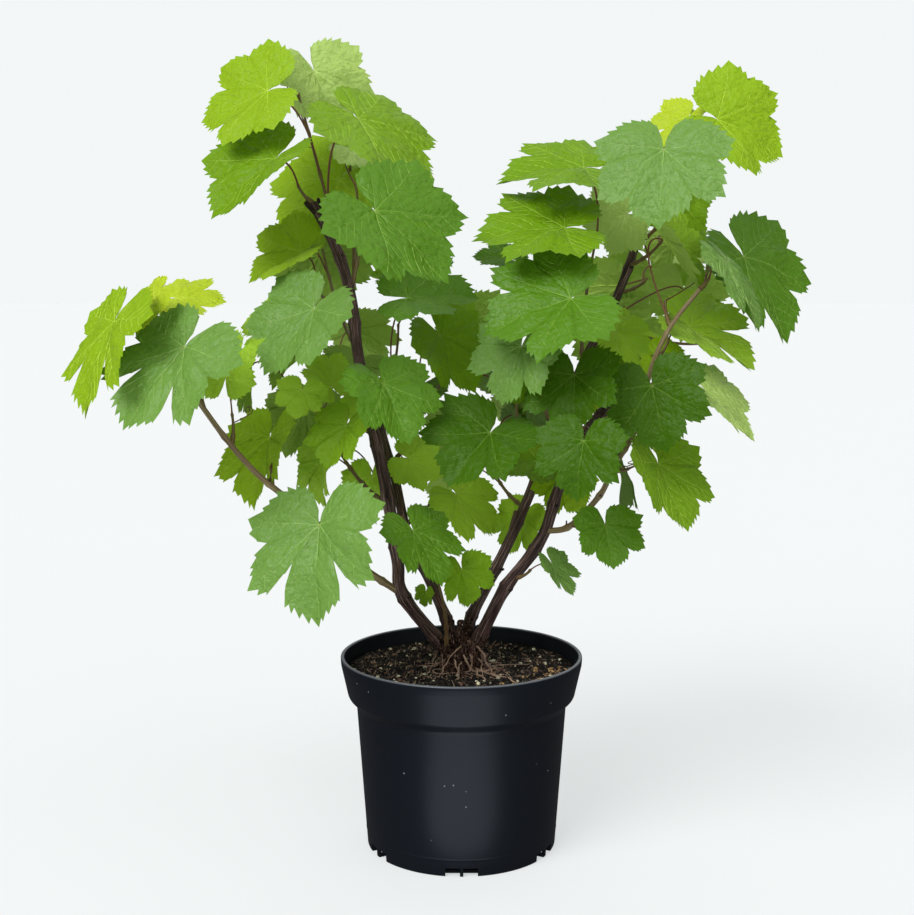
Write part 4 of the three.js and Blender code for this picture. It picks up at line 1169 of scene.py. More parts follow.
def turned(profile, segments, shape=lambda x, y, z: (x, y, z)):
    """Points and faces of a closed body turned about the Z axis; its profile starts and ends on the axis."""
    angle = np.linspace(0, 2 * np.pi, segments, endpoint=False)
    radius, height = profile[1:-1, 0][:, None], profile[1:-1, 1][:, None]
    x, y, z = shape(radius * np.cos(angle), radius * np.sin(angle), height + 0 * angle)
    points = np.stack([x.ravel(), y.ravel(), z.ravel()], 1)
    rows = len(profile) - 2
    first, last = len(points), len(points) + 1
    points = np.vstack([points, [0, 0, profile[0, 1]], [0, 0, profile[-1, 1]]])
    faces = []
    for k in range(segments):
        n = (k + 1) % segments
        faces += [[r * segments + k, r * segments + n, (r + 1) * segments + n, (r + 1) * segments + k]
                  for r in range(rows - 1)]
        faces += [[first, n, k], [last, (rows - 1) * segments + k, (rows - 1) * segments + n]]
    return points, faces


def new_mesh(name, points, faces):
    """A smooth mesh of points in millimetres."""
    mesh = bpy.data.meshes.new(name)
    mesh.from_pydata([tuple(p) for p in np.asarray(points) * MM], [], [[int(c) for c in f] for f in faces])
    mesh.polygons.foreach_set("use_smooth", [True] * len(faces))
    return mesh


pot_profile = rounded(POT_CORNERS)
pot_mesh = new_mesh("pot_body", *turned(pot_profile, POT_SEGMENTS))
print("pot profile", len(pot_profile), "points,", len(pot_mesh.polygons), "faces")

# %% [markdown]
# Water leaves through pairs of notches where the wall meets the underside, so that they work on a
# flat bench too. Boxes are cut out of the turned body, which is simpler than a profile with holes.

# %% Drainage notches, in six pairs
NOTCH = {"around": 6, "width": 13, "divider": 3, "height": 8, "depth": 9}
FOOT_RADIUS = POT_CORNERS[2][0]


def box_faces(first):
    """Faces of a box whose eight corners start at this number."""
    corners = [(0, 1, 3, 2), (4, 6, 7, 5), (0, 4, 5, 1), (2, 3, 7, 6), (0, 2, 6, 4), (1, 5, 7, 3)]
    return [[first + c for c in corner] for corner in corners]


points, faces = [], []
for k in range(NOTCH["around"]):
    turn = 2 * math.pi * k / NOTCH["around"]
    cos, sin = math.cos(turn), math.sin(turn)
    for side in (-1, 1):
        middle = side * (NOTCH["width"] + NOTCH["divider"]) / 2
        faces += box_faces(len(points))
        for x in (middle - NOTCH["width"] / 2, middle + NOTCH["width"] / 2):
            for y in (-FOOT_RADIUS - 3 * NOTCH["depth"], -FOOT_RADIUS + NOTCH["depth"]):
                for z in (-NOTCH["height"], NOTCH["height"]):
                    points.append([x * cos - y * sin, x * sin + y * cos, z])
cutter = finished("pot_notches", new_mesh("pot_notches", points, faces))
uncut = finished("pot_uncut", pot_mesh)
cut = uncut.modifiers.new("notches", "BOOLEAN")
cut.object = cutter
cut.solver = "EXACT"
pot_mesh = bpy.data.meshes.new_from_object(uncut.evaluated_get(bpy.context.evaluated_depsgraph_get()))
for helper in (uncut, cutter):
    bpy.data.objects.remove(helper)
pot_mesh.set_sharp_from_angle(angle=math.radians(40))
pot = finished("pot_body", pot_mesh)
print("pot with its notches", len(pot_mesh.polygons), "faces")

# %% [markdown]
# Nursery plastic is charcoal, satin, and a little dusty. Soft clouds move its roughness, and rare
# pale specks are grains of dust and lime left by watering. The lip is painted pale all round: a
# painted highlight of the light that its rounded edge catches.

# %% Pot plastic
# The pale colour is that of the dust specks, and also of the painted highlight on the lip.
CHARCOAL, DUST_AND_HIGHLIGHT = (12, 15, 22), (118, 122, 128)
SPECK_SIZE, SPECK_CHANCE = (0.07, 0.13), 0.82  # full and gone at these distances from a cell's middle
LIP, LIP_HIGHLIGHT = (0.1786, 0.1798), 0.6  # the painted highlight begins and is full at these heights in metres
plastic, tree, shader = new_finish("charcoal_plastic", CHARCOAL, 0.4, {
    "Specular IOR Level": 0.55, "Specular Tint": (0.78, 0.86, 1, 1)})
haze = pattern(tree, "ShaderNodeTexNoise", 9, stretch=(1, 1, 0.35), detail=5)
rougher(tree, haze.outputs[0], shader, 0.3, 0.46)
cells = pattern(tree, "ShaderNodeTexVoronoi", 150)
speck = step(tree, "ShaderNodeMapRange", {
    "Value": cells.outputs["Distance"], "From Min": SPECK_SIZE[0], "From Max": SPECK_SIZE[1],
    "To Min": 1.0, "To Max": 0.0})
chosen = maths(tree, "GREATER_THAN", cells.outputs["Color"], SPECK_CHANCE)
dust = maths(tree, "MULTIPLY", speck.outputs[0], chosen)
place = step(tree, "ShaderNodeTexCoord").outputs["Object"]
height = step(tree, "ShaderNodeSeparateXYZ", {0: place}).outputs["Z"]
# Painted highlight: the lip is made pale all round, for the light that its rounded edge catches.
lip_highlight = step(tree, "ShaderNodeMapRange", {
    "Value": height, "From Min": LIP[0], "From Max": LIP[1], "To Min": 0.0, "To Max": LIP_HIGHLIGHT})
pale = maths(tree, "MAXIMUM", dust, lip_highlight.outputs[0])
colour_ramp(tree, pale, [(0, CHARCOAL), (1, DUST_AND_HIGHLIGHT)], shader.inputs["Base Color"])
grain = pattern(tree, "ShaderNodeTexNoise", 900, detail=2)
relief(tree, grain.outputs[0], shader, 0.12, 0.0004)
pot.data.materials.clear()
pot.data.materials.append(plastic)
hand_over(pot, "pot", "pot")

# %% [markdown]
# ## The soil
# Peat with bark, perlite and fibres fills the pot to a finger under its rim. A turned body gives
# the bed, uneven towards the wall. Loose crumbs lie on it, and these are scattered by a rule over
# the bed's upper faces, because there are thousands of them.

# %% Soil bed
SOIL_LEVEL, SOIL_FLAT, SOIL_EDGE, BED_FOOT = 166, 46, 106.2, 150
SOIL_WAVE, SOIL_LUMPS, LUMP_SCALE = 1.1, 1.5, 0.09
BED_RINGS, BED_SEGMENTS = 60, 160


def soil_height(x, y):
    """The soil's height: flat round the stump, and wavy from there to the wall."""
    radius, angle = np.hypot(x, y), np.arctan2(y, x)
    wave = np.sin(3 * angle + radius / 9) + np.sin(5 * angle - radius / 7) + np.cos(2 * angle)
    grows, fades = np.clip((radius - SOIL_FLAT) / 12, 0, 1), np.clip((105 - radius) / 10, 0.3, 1)
    return SOIL_LEVEL + SOIL_WAVE * wave * grows * fades


def uneven_soil(x, y, z):
    """Gives the top of the turned bed its waves and lumps."""
    spots = [[(a * LUMP_SCALE, b * LUMP_SCALE, 3.7) for a, b in zip(*row)] for row in zip(x, y)]
    lumps = np.array([[noise.fractal(spot, 1.0, 2.0, 4) for spot in row] for row in spots])
    top = z > SOIL_LEVEL - 3
    return x, y, np.where(top, z - SOIL_LEVEL + soil_height(x, y) + SOIL_LUMPS * lumps, z)


top = [[radius, SOIL_LEVEL] for radius in np.linspace(SOIL_EDGE, 4, BED_RINGS)]
bed_profile = np.vstack([[[0, BED_FOOT], [SOIL_EDGE - 4, BED_FOOT]], top, [[0, SOIL_LEVEL]]])
soil_mesh = new_mesh("soil_bed", *turned(bed_profile, BED_SEGMENTS, uneven_soil))
bed = finished("soil_bed", soil_mesh)
print("soil bed", len(soil_mesh.polygons), "faces")

stops = [(0.35, (6, 5, 4)), (0.55, (20, 15, 11)), (0.66, (46, 34, 25)), (0.76, (96, 76, 58))]
peat = mottled("peat", (38, 27, 19), 0.95, 140, stops, (1.0, 0.003), {"Specular IOR Level": 0.2},
               detail=8, roughness=0.7)[0]
bed.data.materials.append(peat)
hand_over(bed, "soil", "soil")

# %% [markdown]
# Potting soil is a mix, and its colours and sizes tell it from a painted surface: dark and pale
# crumbs, white perlite, flakes of bark, and fibres. A bump pattern would stay flat at the rim, so
# every grain is a small closed lump, and each kind is scattered by the same rule.

# %% One lump
def lump(name, seed, stretch, roughness):
    """A closed lump of 20 faces, stretched and made uneven."""
    g = (1 + 5**0.5) / 2
    points = np.array([(a, b * g, 0) for a in (-1, 1) for b in (-1, 1)])
    points = np.vstack([points, points[:, [2, 0, 1]], points[:, [1, 2, 0]]])
    random = seeded(seed)
    points = points / np.hypot(1, g) * [[1 + roughness * (random() - 0.5)] for _ in range(12)]
    mesh = bpy.data.meshes.new(name)
    mesh.from_pydata([tuple(p * stretch * 0.5) for p in points], [], [])
    form = bmesh.new()
    form.from_mesh(mesh)
    bmesh.ops.convex_hull(form, input=form.verts)
    bmesh.ops.recalc_face_normals(form, faces=form.faces)
    form.to_mesh(mesh)
    form.free()
    return bpy.data.objects.new(name, mesh)


# %% The rule that scatters lumps
def scatter_rule():
    """Puts lumps on the bed's upper faces: all over it, or only beyond a line at its right front."""
    tree, given, result = new_rule("grains_on_soil", {
        "Grain Shapes": "Collection", "Per Square Metre": "Float", "Smallest": "Float", "Largest": "Float",
        "Farthest": "Float", "Side Start": "Float", "Tumble": "Float", "Seed": "Int", "Finish": "Material"})
    normal = step(tree, "GeometryNodeInputNormal").outputs[0]
    up = step(tree, "ShaderNodeSeparateXYZ", {0: normal}).outputs[2]
    position = step(tree, "GeometryNodeInputPosition").outputs[0]
    x, y, z = step(tree, "ShaderNodeSeparateXYZ", {0: position}).outputs
    level, high = maths(tree, "GREATER_THAN", up, 0.4), maths(tree, "GREATER_THAN", z, 0.158)
    upper = maths(tree, "MULTIPLY", level, high)
    out = maths(tree, "SQRT", maths(tree, "MULTIPLY_ADD", x, x, maths(tree, "MULTIPLY", y, y)))
    inside = maths(tree, "LESS_THAN", out, given["Farthest"])
    beside = maths(tree, "GREATER_THAN", maths(tree, "SUBTRACT", x, y), given["Side Start"])
    upper = maths(tree, "MULTIPLY", upper, maths(tree, "MULTIPLY", inside, beside))
    points = step(tree, "GeometryNodeDistributePointsOnFaces", {
        "Mesh": given["Geometry"], "Selection": upper, "Density": given["Per Square Metre"],
        "Seed": given["Seed"]}).outputs[0]
    shapes = step(tree, "GeometryNodeCollectionInfo", {
        "Collection": given["Grain Shapes"], "Separate Children": True, "Reset Children": True}).outputs[0]
    half_turn = 3.14
    turn = step(tree, "FunctionNodeRandomValue", {
        "Min": (-half_turn,) * 3, "Max": (half_turn,) * 3, "Seed": given["Seed"]}, data_type="FLOAT_VECTOR")
    tumble = step(tree, "ShaderNodeCombineXYZ", {"X": given["Tumble"], "Y": given["Tumble"], "Z": 1.0})
    turned_by = step(tree, "ShaderNodeVectorMath", {
        0: turn.outputs[0], 1: tumble.outputs[0]}, operation="MULTIPLY").outputs[0]
    size = step(tree, "FunctionNodeRandomValue", {
        2: given["Smallest"], 3: given["Largest"], "Seed": given["Seed"]}).outputs[1]
    placed = step(tree, "GeometryNodeInstanceOnPoints", {
        "Points": points, "Instance": shapes, "Pick Instance": True, "Rotation": turned_by,
        "Scale": size}).outputs[0]
    real = step(tree, "GeometryNodeRealizeInstances", {"Geometry": placed}).outputs[0]
    dressed = step(tree, "GeometryNodeSetMaterial", {"Geometry": real, "Material": given["Finish"]})
    tree.links.new(dressed.outputs[0], result.inputs[0])
    return tree


scatter = scatter_rule()
print("scatter rule with", len(scatter.nodes), "nodes")

# %% Six kinds of grain
LUMPS_PER_KIND, LUMP_SEED, GRAIN_SEED, SOIL_REACH = 4, 40, 5, 0.1045
ALL_OVER = -1
# Name, stretch, roughness, grains per square metre, smallest, largest, where they start towards the
# right front, how much they tumble (0 is lying flat), colour. Sizes are in metres.
GRAINS = [
    ("peat_crumbs", (1, 0.8, 0.6), 0.7, 80000, 0.0016, 0.0044, ALL_OVER, 1.0, (17, 13, 11)),
    ("pale_crumbs", (1, 0.7, 0.5), 0.7, 14000, 0.0014, 0.0038, ALL_OVER, 1.0, (140, 112, 90)),
    ("perlite", (1, 0.9, 0.85), 0.3, 2400, 0.002, 0.0052, ALL_OVER, 1.0, (222, 216, 184)),
    ("bark_chips", (1.6, 0.7, 0.22), 0.5, 6500, 0.003, 0.007, ALL_OVER, 0.25, (92, 60, 46)),
    ("golden_chips", (1.3, 0.9, 0.35), 0.6, 9000, 0.003, 0.0064, 0.085, 0.4, (170, 130, 76)),
    ("soil_fibres", (6, 0.24, 0.24), 0.3, 18000, 0.0012, 0.0026, ALL_OVER, 0.25, (172, 146, 122)),
]
for number, (name, stretch, roughness, density, smallest, largest, side, tumble, colour) in enumerate(GRAINS):
    shapes = bpy.data.collections.new(name)
    for k in range(LUMPS_PER_KIND):
        shapes.objects.link(lump(f"{name}_{k}", LUMP_SEED + 7 * number + k, np.array(stretch), roughness))
    stops = [(0.35, tinted(colour, (0, 0, 0), 0.45)), (0.65, tinted(colour, (255, 240, 210), 0.15))]
    finish = mottled(name, colour, 0.9, 160, stops, more={"Specular IOR Level": 0.2}, detail=2)[0]
    piece = grow(name, scatter, bed.data.copy(), {
        "Grain Shapes": shapes, "Per Square Metre": density, "Smallest": smallest, "Largest": largest,
        "Farthest": SOIL_REACH - 0.5 * largest * stretch[0], "Side Start": side, "Tumble": tumble,
        "Seed": GRAIN_SEED + number, "Finish": finish})
    hand_over(piece, "soil", "soil")
    for shape in list(shapes.objects):
        bpy.data.objects.remove(shape)

# %% [markdown]
# ## Wood, shoots and stalks
# Everything that carries a leaf is a tube along a path: thick fibrous canes, thin side shoots,
# green stems with a swelling at each node, and leaf stalks. One rule makes them all. It sweeps a
# circle along the paths of its plan, by the radius that each point carries, and raises ridges
# along the grain by a noise that is stretched lengthwise. Where each point lies in that noise is
# stored as the mesh's grain, so that its colours can follow the same fibres.

# %% The rule for tubes along paths
def path_rule():
    """Sweeps a circle along paths and raises ridges on it."""
    tree, given, result = new_rule("wood_along_paths", {
        "Sides": "Int", "Ridge Height": "Float", "Ridges Around": "Float", "Ridges Along": "Float",
        "Finish": "Material"})
    curve = step(tree, "GeometryNodeMeshToCurve", {"Mesh": given["Geometry"]}).outputs[0]
    run = step(tree, "GeometryNodeSplineParameter").outputs["Length"]
    curve = step(tree, "GeometryNodeStoreNamedAttribute", {
        "Geometry": curve, "Name": "run", "Value": run}, data_type="FLOAT").outputs[0]
    ring = step(tree, "GeometryNodeCurvePrimitiveCircle", {
        "Resolution": given["Sides"], "Radius": 1.0}).outputs[0]
    ring = step(tree, "GeometryNodeStoreNamedAttribute", {
        "Geometry": ring, "Name": "around", "Value": step(tree, "GeometryNodeInputPosition").outputs[0]},
        data_type="FLOAT_VECTOR").outputs[0]
    radius = read(tree, "thickness")
    tube = step(tree, "GeometryNodeCurveToMesh", {
        "Curve": curve, "Profile Curve": ring, "Scale": radius, "Fill Caps": True}).outputs[0]
    around = scaled(tree, read(tree, "around", "FLOAT_VECTOR"), given["Ridges Around"])
    seed = read(tree, "grain_seed")
    down = maths(tree, "MULTIPLY_ADD", read(tree, "run"), given["Ridges Along"], seed)
    grain = step(tree, "ShaderNodeVectorMath", {
        0: around, 1: step(tree, "ShaderNodeCombineXYZ", {"Z": down}).outputs[0]}, operation="ADD").outputs[0]
    fibres = step(tree, "ShaderNodeTexNoise", {
        "Vector": grain, "Scale": 1.0, "Detail": 3.0, "Roughness": 0.6}).outputs[0]
    ridge = maths(tree, "SUBTRACT", fibres, 0.55)
    height = maths(tree, "MULTIPLY", maths(tree, "MULTIPLY", ridge, given["Ridge Height"]), radius)
    normal = step(tree, "GeometryNodeInputNormal").outputs[0]
    raised = step(tree, "GeometryNodeSetPosition", {
        "Geometry": tube, "Offset": scaled(tree, normal, height)}).outputs[0]
    grained = step(tree, "GeometryNodeStoreNamedAttribute", {
        "Geometry": raised, "Name": "grain", "Value": grain}, data_type="FLOAT_VECTOR").outputs[0]
    smooth = step(tree, "GeometryNodeSetShadeSmooth", {"Geometry": grained}).outputs[0]
    dressed = step(tree, "GeometryNodeSetMaterial", {"Geometry": smooth, "Material": given["Finish"]})
    real = step(tree, "GeometryNodeRealizeInstances", {"Geometry": dressed.outputs[0]}).outputs[0]
    tree.links.new(real, result.inputs[0])
    return tree


tubes = path_rule()
SEED_STRIDE = 7.3  # how far apart the noise of two paths starts


def path_plan(paths):
    """A plan mesh of separate paths, given as (points, radii) in millimetres."""
    points = np.vstack([line for line, _ in paths]) * MM
    starts = np.cumsum([0] + [len(line) for line, _ in paths])
    edges = [(i, i + 1) for a, b in zip(starts[:-1], starts[1:]) for i in range(a, b - 1)]
    plan = bpy.data.meshes.new("path_plan")
    plan.from_pydata([tuple(p) for p in points], edges, [])
    store(plan, "thickness", "FLOAT", np.concatenate([radii for _, radii in paths]) * MM)
    seeds = [[SEED_STRIDE * k] * len(line) for k, (line, _) in enumerate(paths)]
    store(plan, "grain_seed", "FLOAT", np.concatenate(seeds))
    return plan


def grow_tubes(name, paths, finish, sides, height, around, along):
    """Tubes along paths, as one piece: how many sides, and how high and how close their ridges are."""
    return grow(name, tubes, path_plan(paths), {
        "Sides": sides, "Ridge Height": height, "Ridges Around": around, "Ridges Along": along,
        "Finish": finish})


print("path rule with", len(tubes.nodes), "nodes")

# %% [markdown]
# Old vine bark is dark red-brown and splits into long fibres. Its finish reads the grain that the
# rule left on the mesh, so the fibres run along every cane.

# %% Bark and shoot finishes
GRAIN = {"attribute": "grain", "stretch": (1, 1, 0.4)}
DEAD_GRAIN = {"attribute": "grain", "stretch": (1, 1, 0.5)}
stops = [(0.4, (12, 7, 6)), (0.48, (54, 32, 27)), (0.55, (104, 72, 64)), (0.64, (184, 160, 150))]
bark, tree, shader, fibres = mottled(
    "old_vine_bark", (80, 52, 45), 0.7, 3.2, stops, (1.0, 0.0016), {"Specular IOR Level": 0.5},
    **GRAIN, detail=7, roughness=0.7)
rougher(tree, fibres, shader, 0.42, 0.8)
stops = [(0.36, (76, 54, 36)), (0.5, (122, 102, 66)), (0.63, (162, 148, 106))]
brown_shoot = mottled("ripening_shoot", (120, 102, 66), 0.55, 3, stops, (0.4, 0.0006), **GRAIN, detail=5)[0]
stops = [(0.3, (92, 56, 38)), (0.5, (104, 84, 46)), (0.7, (112, 112, 52))]
green_stem = mottled("green_stem", (98, 84, 46), 0.5, 2, stops, **GRAIN, detail=4)[0]
stops = [(0.3, (98, 46, 36)), (0.54, (116, 68, 46)), (0.74, (122, 104, 54))]
leaf_stalk = mottled("leaf_stalk", (112, 62, 44), 0.5, 2, stops, **GRAIN, detail=3)[0]
stops = [(0.3, (20, 12, 11)), (0.55, (42, 26, 21)), (0.75, (84, 62, 50))]
dead_wood = mottled("dead_wood", (38, 23, 19), 0.85, 3, stops, (0.8, 0.001), **DEAD_GRAIN, detail=5)[0]
print("bark, brown shoot, green stem, leaf stalk and dead wood")

# %% Canes and side shoots
GIRTH = 0.87  # bark wood is slimmer than its solid, because nodes and ridges stand out of it
# Nodes along a limb: the first, how far the last keeps from the tip, their gap and chance's part.
FIRST_NODE, LAST_NODE, NODE_GAP, GAP_CHANCE = 24.0, 12, 40, 22
# A node is a swelling, in widths of the limb, with a narrow ring on it.
SWELLING, SWELLING_WIDTH, RING, RING_WIDTH = 0.15, 1.1, 0.11, 1.6
STUB_GIRTH = np.array([1.5, 1.25, 1.05, 1, 1, 0.75])


def limb_path(name, stride=1.2):
    """A limb's middle line in fine steps, its radius, ringed at each node, and which steps are nodes."""
    _, radius, route = LIMBS[name]
    steps = LIMB_STEPS * (len(route) - 1)
    coarse = np.array([along(route, k / LIMB_STEPS) for k in range(steps + 1)])
    length = np.concatenate([[0], np.cumsum(np.linalg.norm(np.diff(coarse, axis=0), axis=1))])
    run = np.linspace(0, length[-1], int(length[-1] / stride))
    line = np.stack([np.interp(run, length, coarse[:, k]) for k in range(3)], 1)
    random = seeded(len(name) + len(route))
    spots, at = [], FIRST_NODE
    while at < length[-1] - LAST_NODE:
        spots.append(at)
        at += NODE_GAP + GAP_CHANCE * random()
    gap = np.abs(run[:, None] - np.array(spots)).min(1)
    swollen = SWELLING * np.exp(-((gap / (SWELLING_WIDTH * radius[0])) ** 2))
    ringed = 1 + swollen + RING * np.exp(-((gap / RING_WIDTH) ** 2))
    thick = GIRTH * np.interp(run, [0, length[-1]], radius) * ringed
    return line, thick, [int(spot / stride) for spot in spots]


def stub(line, radii, at, turn, length, thick, lean):
    """A short stub that leaves a limb sideways and leans along it."""
    way = unit(line[min(at + 2, len(line) - 1)] - line[max(at - 2, 0)])
    side = unit(np.cross(way, (math.cos(turn), math.sin(turn), 0.2)))
    foot = line[at] + side * 0.55 * radii[at]
    tip = foot + side * ((1 - lean) * length + 0.45 * radii[at]) + way * lean * length
    knee = (foot + tip) / 2 + side * 0.12 * length
    return bow(foot, knee, tip, 5), thick * STUB_GIRTH


old_canes = [name for name in LIMBS if LIMBS[name][0] == "stump"]
paths = [limb_path(name)[:2] for name in old_canes]
piece = grow_tubes("old_canes", paths, bark, sides=40, height=0.17, around=3.4, along=26.0)
hand_over(piece, "bark", *old_canes)
side_shoots = [name for name in LIMBS if name not in old_canes]
paths = [limb_path(name)[:2] for name in side_shoots]
piece = grow_tubes("side_shoots", paths, brown_shoot, sides=24, height=0.12, around=2.4, along=30.0)
hand_over(piece, "side_shoots", *side_shoots)

# %% [markdown]
# Every node carries a bud, and the canes end in short dead stubs where they were cut. Both are
# short tubes that leave the wood sideways, so the tube rule can make them too.

# %% Buds at the nodes, and the dead stubs where canes were cut back
BUD_THICK, BUD_LEAN, STUB_LEAN = 0.2, 0.5, 0.78
FEW_STUBS, STUBS_AT_TIP = {"left_rear": 1}, 4
random = seeded(31)
stubs = []
for name in LIMBS:
    line, radii, nodes = limb_path(name)
    for k, at in enumerate(nodes):
        turn, length = 3.1 * k + random(), 3 + 2.5 * random()
        stubs.append(stub(line, radii, at, turn, length, BUD_THICK * radii[at], BUD_LEAN))
    if name in old_canes:
        for k in range(FEW_STUBS.get(name, STUBS_AT_TIP)):
            turn, back = 1.6 * k + random(), 2 + int(7 * random())
            length, thick = (10 + 7 * random()) * (1 if k < 2 else 0.5), radii[-1] * (0.34 + 0.14 * random())
            stubs.append(stub(line, radii, len(line) - 1 - back, turn, length, thick, STUB_LEAN))
piece = grow_tubes("buds_and_stubs", stubs, dead_wood, sides=9, height=0.5, around=1.6, along=160.0)
hand_over(piece, "bark", *LIMBS)

# %% [markdown]
# This year's shoots are green and swell where a leaf springs. Leaf stalks are redder and thinner,
# and widen at both ends: a joint at the stem, and the start of the veins in the blade. They follow
# the growth rule's own lines, so that each stalk ends in its leaf.

# %% Green stems and leaf stalks
FINE, STALK_STEPS = 30, 14
STEM_SLIM, KNOT, KNOT_WIDTH, BARE_KNOTS = (0.7, 0.62), 0.45, 2.6, (0.16, 0.33)
STALK_GIRTH = (0.4, 0.0065)  # a stalk's radius, and what each millimetre of its leaf adds to it
FOOT_FLARE, FOOT_REACH, END_FLARE, END_REACH = 0.5, 0.05, 0.25, 0.04  # it widens at both ends


def swelling(line, nodes, width):
    """1 at each of the nodes, which are points, and falling to 0 around them."""
    gaps = np.linalg.norm(line[:, None] - np.array(nodes)[None], axis=2).min(1)
    return np.exp(-((gaps / width) ** 2))


stems, stalks = [], []
for name in SHOOTS:
    line = stem_line(name, FINE)
    mine = [leaf for leaf in leaves if leaf["shoot"] == name]
    feet = [line[np.argmin(np.linalg.norm(line - leaf["foot"], axis=1))] for leaf in mine]
    radii = np.linspace(STEM_SLIM[0] * STEM["foot"], STEM_SLIM[1] * STEM["tip"], FINE + 1)
    knots = feet + [line[int(FINE * share)] for share in BARE_KNOTS]
    stems.append((line, radii * (1 + KNOT * swelling(line, knots, KNOT_WIDTH))))
    for leaf, foot in zip(mine, feet):
        stalk = petiole_line(leaf, foot, STALK_STEPS)
        # It ends just inside the blade, a little below it.
        stalk[-1] = leaf["at"] + leaf["axes"][0] * 0.02 * leaf["size"] - leaf["axes"][2] * 0.3
        t = np.linspace(0, 1, STALK_STEPS + 1)
        slim = STALK_GIRTH[0] + STALK_GIRTH[1] * leaf["size"]
        flare = 1 + FOOT_FLARE * np.exp(-t / FOOT_REACH) + END_FLARE * np.exp((t - 1) / END_REACH)
        stalks.append((stalk, slim * flare))
piece = grow_tubes("green_stems", stems, green_stem, sides=10, height=0.12, around=1.5, along=40.0)
hand_over(piece, "side_shoots", *["mass_" + name for name in SHOOTS])
piece = grow_tubes("leaf_stalks", stalks, leaf_stalk, sides=8, height=0.1, around=1.5, along=40.0)
hand_over(piece, "foliage", *["mass_" + leaf["shoot"] for leaf in leaves])

# %% [markdown]
# A vine climbs by tendrils, which reach out and then wind up like springs. A few are enough to
# show it. They are formulas rather than drawn curves, so chance can make each one different.

# %% Tendrils: a straight run that ends in a coil
COIL, COIL_SHRINK, COIL_RISE, COIL_TURN = 3.4, 0.05, 0.5, 10  # its turn is in radians
RUN_STEPS, COIL_STEPS = 12, 26
CLIMBING = ("top_right", "right_end", "far_left", "top_left",
            "right_low", "lateral_back", "centre_high", "upper_left")


def tendril(line, at, random):
    """Points and radii of a tendril that leaves a stem at this step."""
    way = unit(line[at + 1] - line[at])
    side = unit(np.cross(way, (random() - 0.5, random() - 0.5, 1)))
    rise = np.cross(side, way)
    t = np.linspace(0, 1, RUN_STEPS)[:, None]
    run = line[at] + side * (15 + 12 * random()) * t + way * 5 * t**2 + rise * 2.5 * np.sin(3 * t)
    turns = np.linspace(0, COIL_TURN, COIL_STEPS + 1)[1:, None]
    width = COIL * (1 - COIL_SHRINK * turns)
    coil = run[-1] + way * COIL - way * width * np.cos(turns) + side * width * np.sin(turns)
    coil += rise * COIL_RISE * turns
    return np.vstack([run, coil]), np.linspace(0.6, 0.32, RUN_STEPS + COIL_STEPS)


random = seeded(19)
coils = [tendril(stem_line(name, FINE), 18 + int(9 * random()), random) for name in CLIMBING]
piece = grow_tubes("tendrils", coils, green_stem, sides=6, height=0.0, around=1.0, along=40.0)
hand_over(piece, "side_shoots", *["mass_" + name for name in CLIMBING])

# %% [markdown]
# ## The stump and its roots
# Years of cutting back leave a knobby head just above the soil: the feet of the canes run
# together in it, short stubs of old spurs stand up, and roots spread from its foot. Separate
# bodies would show seams, and so would joined ones, so they are melted together by a voxel remesh.
# Only then does the bark get its relief.

# %% A closed tube along a path
def sweep(points, radii, sides=12):
    """Points and faces of a closed tube along a path."""
    points, radii = np.asarray(points, float), np.asarray(radii, float)
    way = np.gradient(points, axis=0)
    way /= np.linalg.norm(way, axis=1)[:, None]
    normal = unit(np.cross(way[0], (0.3, 1, 0.1)))
    rings = []
    for p, t, r in zip(points, way, radii):
        normal = unit(normal - t * normal.dot(t))
        other = np.cross(t, normal)
        turn = np.linspace(0, 2 * np.pi, sides, endpoint=False)[:, None]
        rings.append(p + r * (np.cos(turn) * normal + np.sin(turn) * other))
    end = sides * (len(points) - 1)
    pairs = [(k, (k + 1) % sides) for k in range(sides)]
    faces = [[i + a, i + b, i + sides + b, i + sides + a] for i in range(0, end, sides) for a, b in pairs]
    return np.vstack(rings), faces + [list(range(sides))[::-1], [end + k for k in range(sides)]]


# %% Bodies of the stump
STUMP_FOOT = SOIL_LEVEL + 0.3
STUMP_SIDE = [(14, 0), (13.5, 6), (12, 13), (10, 20), (8, 27), (5, 33)]  # radius and height
FLARE, FLARE_HEIGHT, STUMP_SLIM = 7 / 27, 9, 0.92  # five lobes at its foot, lost higher up
# Dead stubs: top of each, and its radius. The tallest stands in front, between the canes.
STUBS = [(-2, -9, 214, 3.4), (7, -3, 209, 4), (-8, -6, 203, 3), (3, -15, 193, 3.2),
         (-16, -12, 189, 3.4), (15, -11, 187, 3.2), (-5, -17, 184, 3), (0, 14, 204, 3.6),
         (-14, -17, 194, 3.6)]
STUB_BODY = np.array([1.7, 1.4, 1.1, 0.9, 1.15, 0.95, 0.6])  # its girth from foot to tip
CANE_DEPTH, CANE_STEPS = 163, 8  # the canes' feet start under the soil and end after so many steps
KNOBS, KNOB_BODY = 26, np.array([0.5, 0.95, 0.95, 0.5])
STUMP_HEIGHTS, KNOBS_OUT, ROOTS_OUT = [0, 14, 27], [15, 15, 10], [16, 16, 12]  # from the axis
ROOT_FEET = 8


def lobed(x, y, z):
    """Lets a turned body spread in lobes at its foot."""
    spread = 1 + FLARE * np.cos(5 * np.arctan2(y, x) + 1.1) * np.exp(-z / FLARE_HEIGHT)
    return x * spread * STUMP_SLIM, y * spread * STUMP_SLIM, z + STUMP_FOOT


def away(turn, out, height):
    """The point this far out from the plant's axis, at this height."""
    return np.array([out * math.cos(turn), out * math.sin(turn), height])


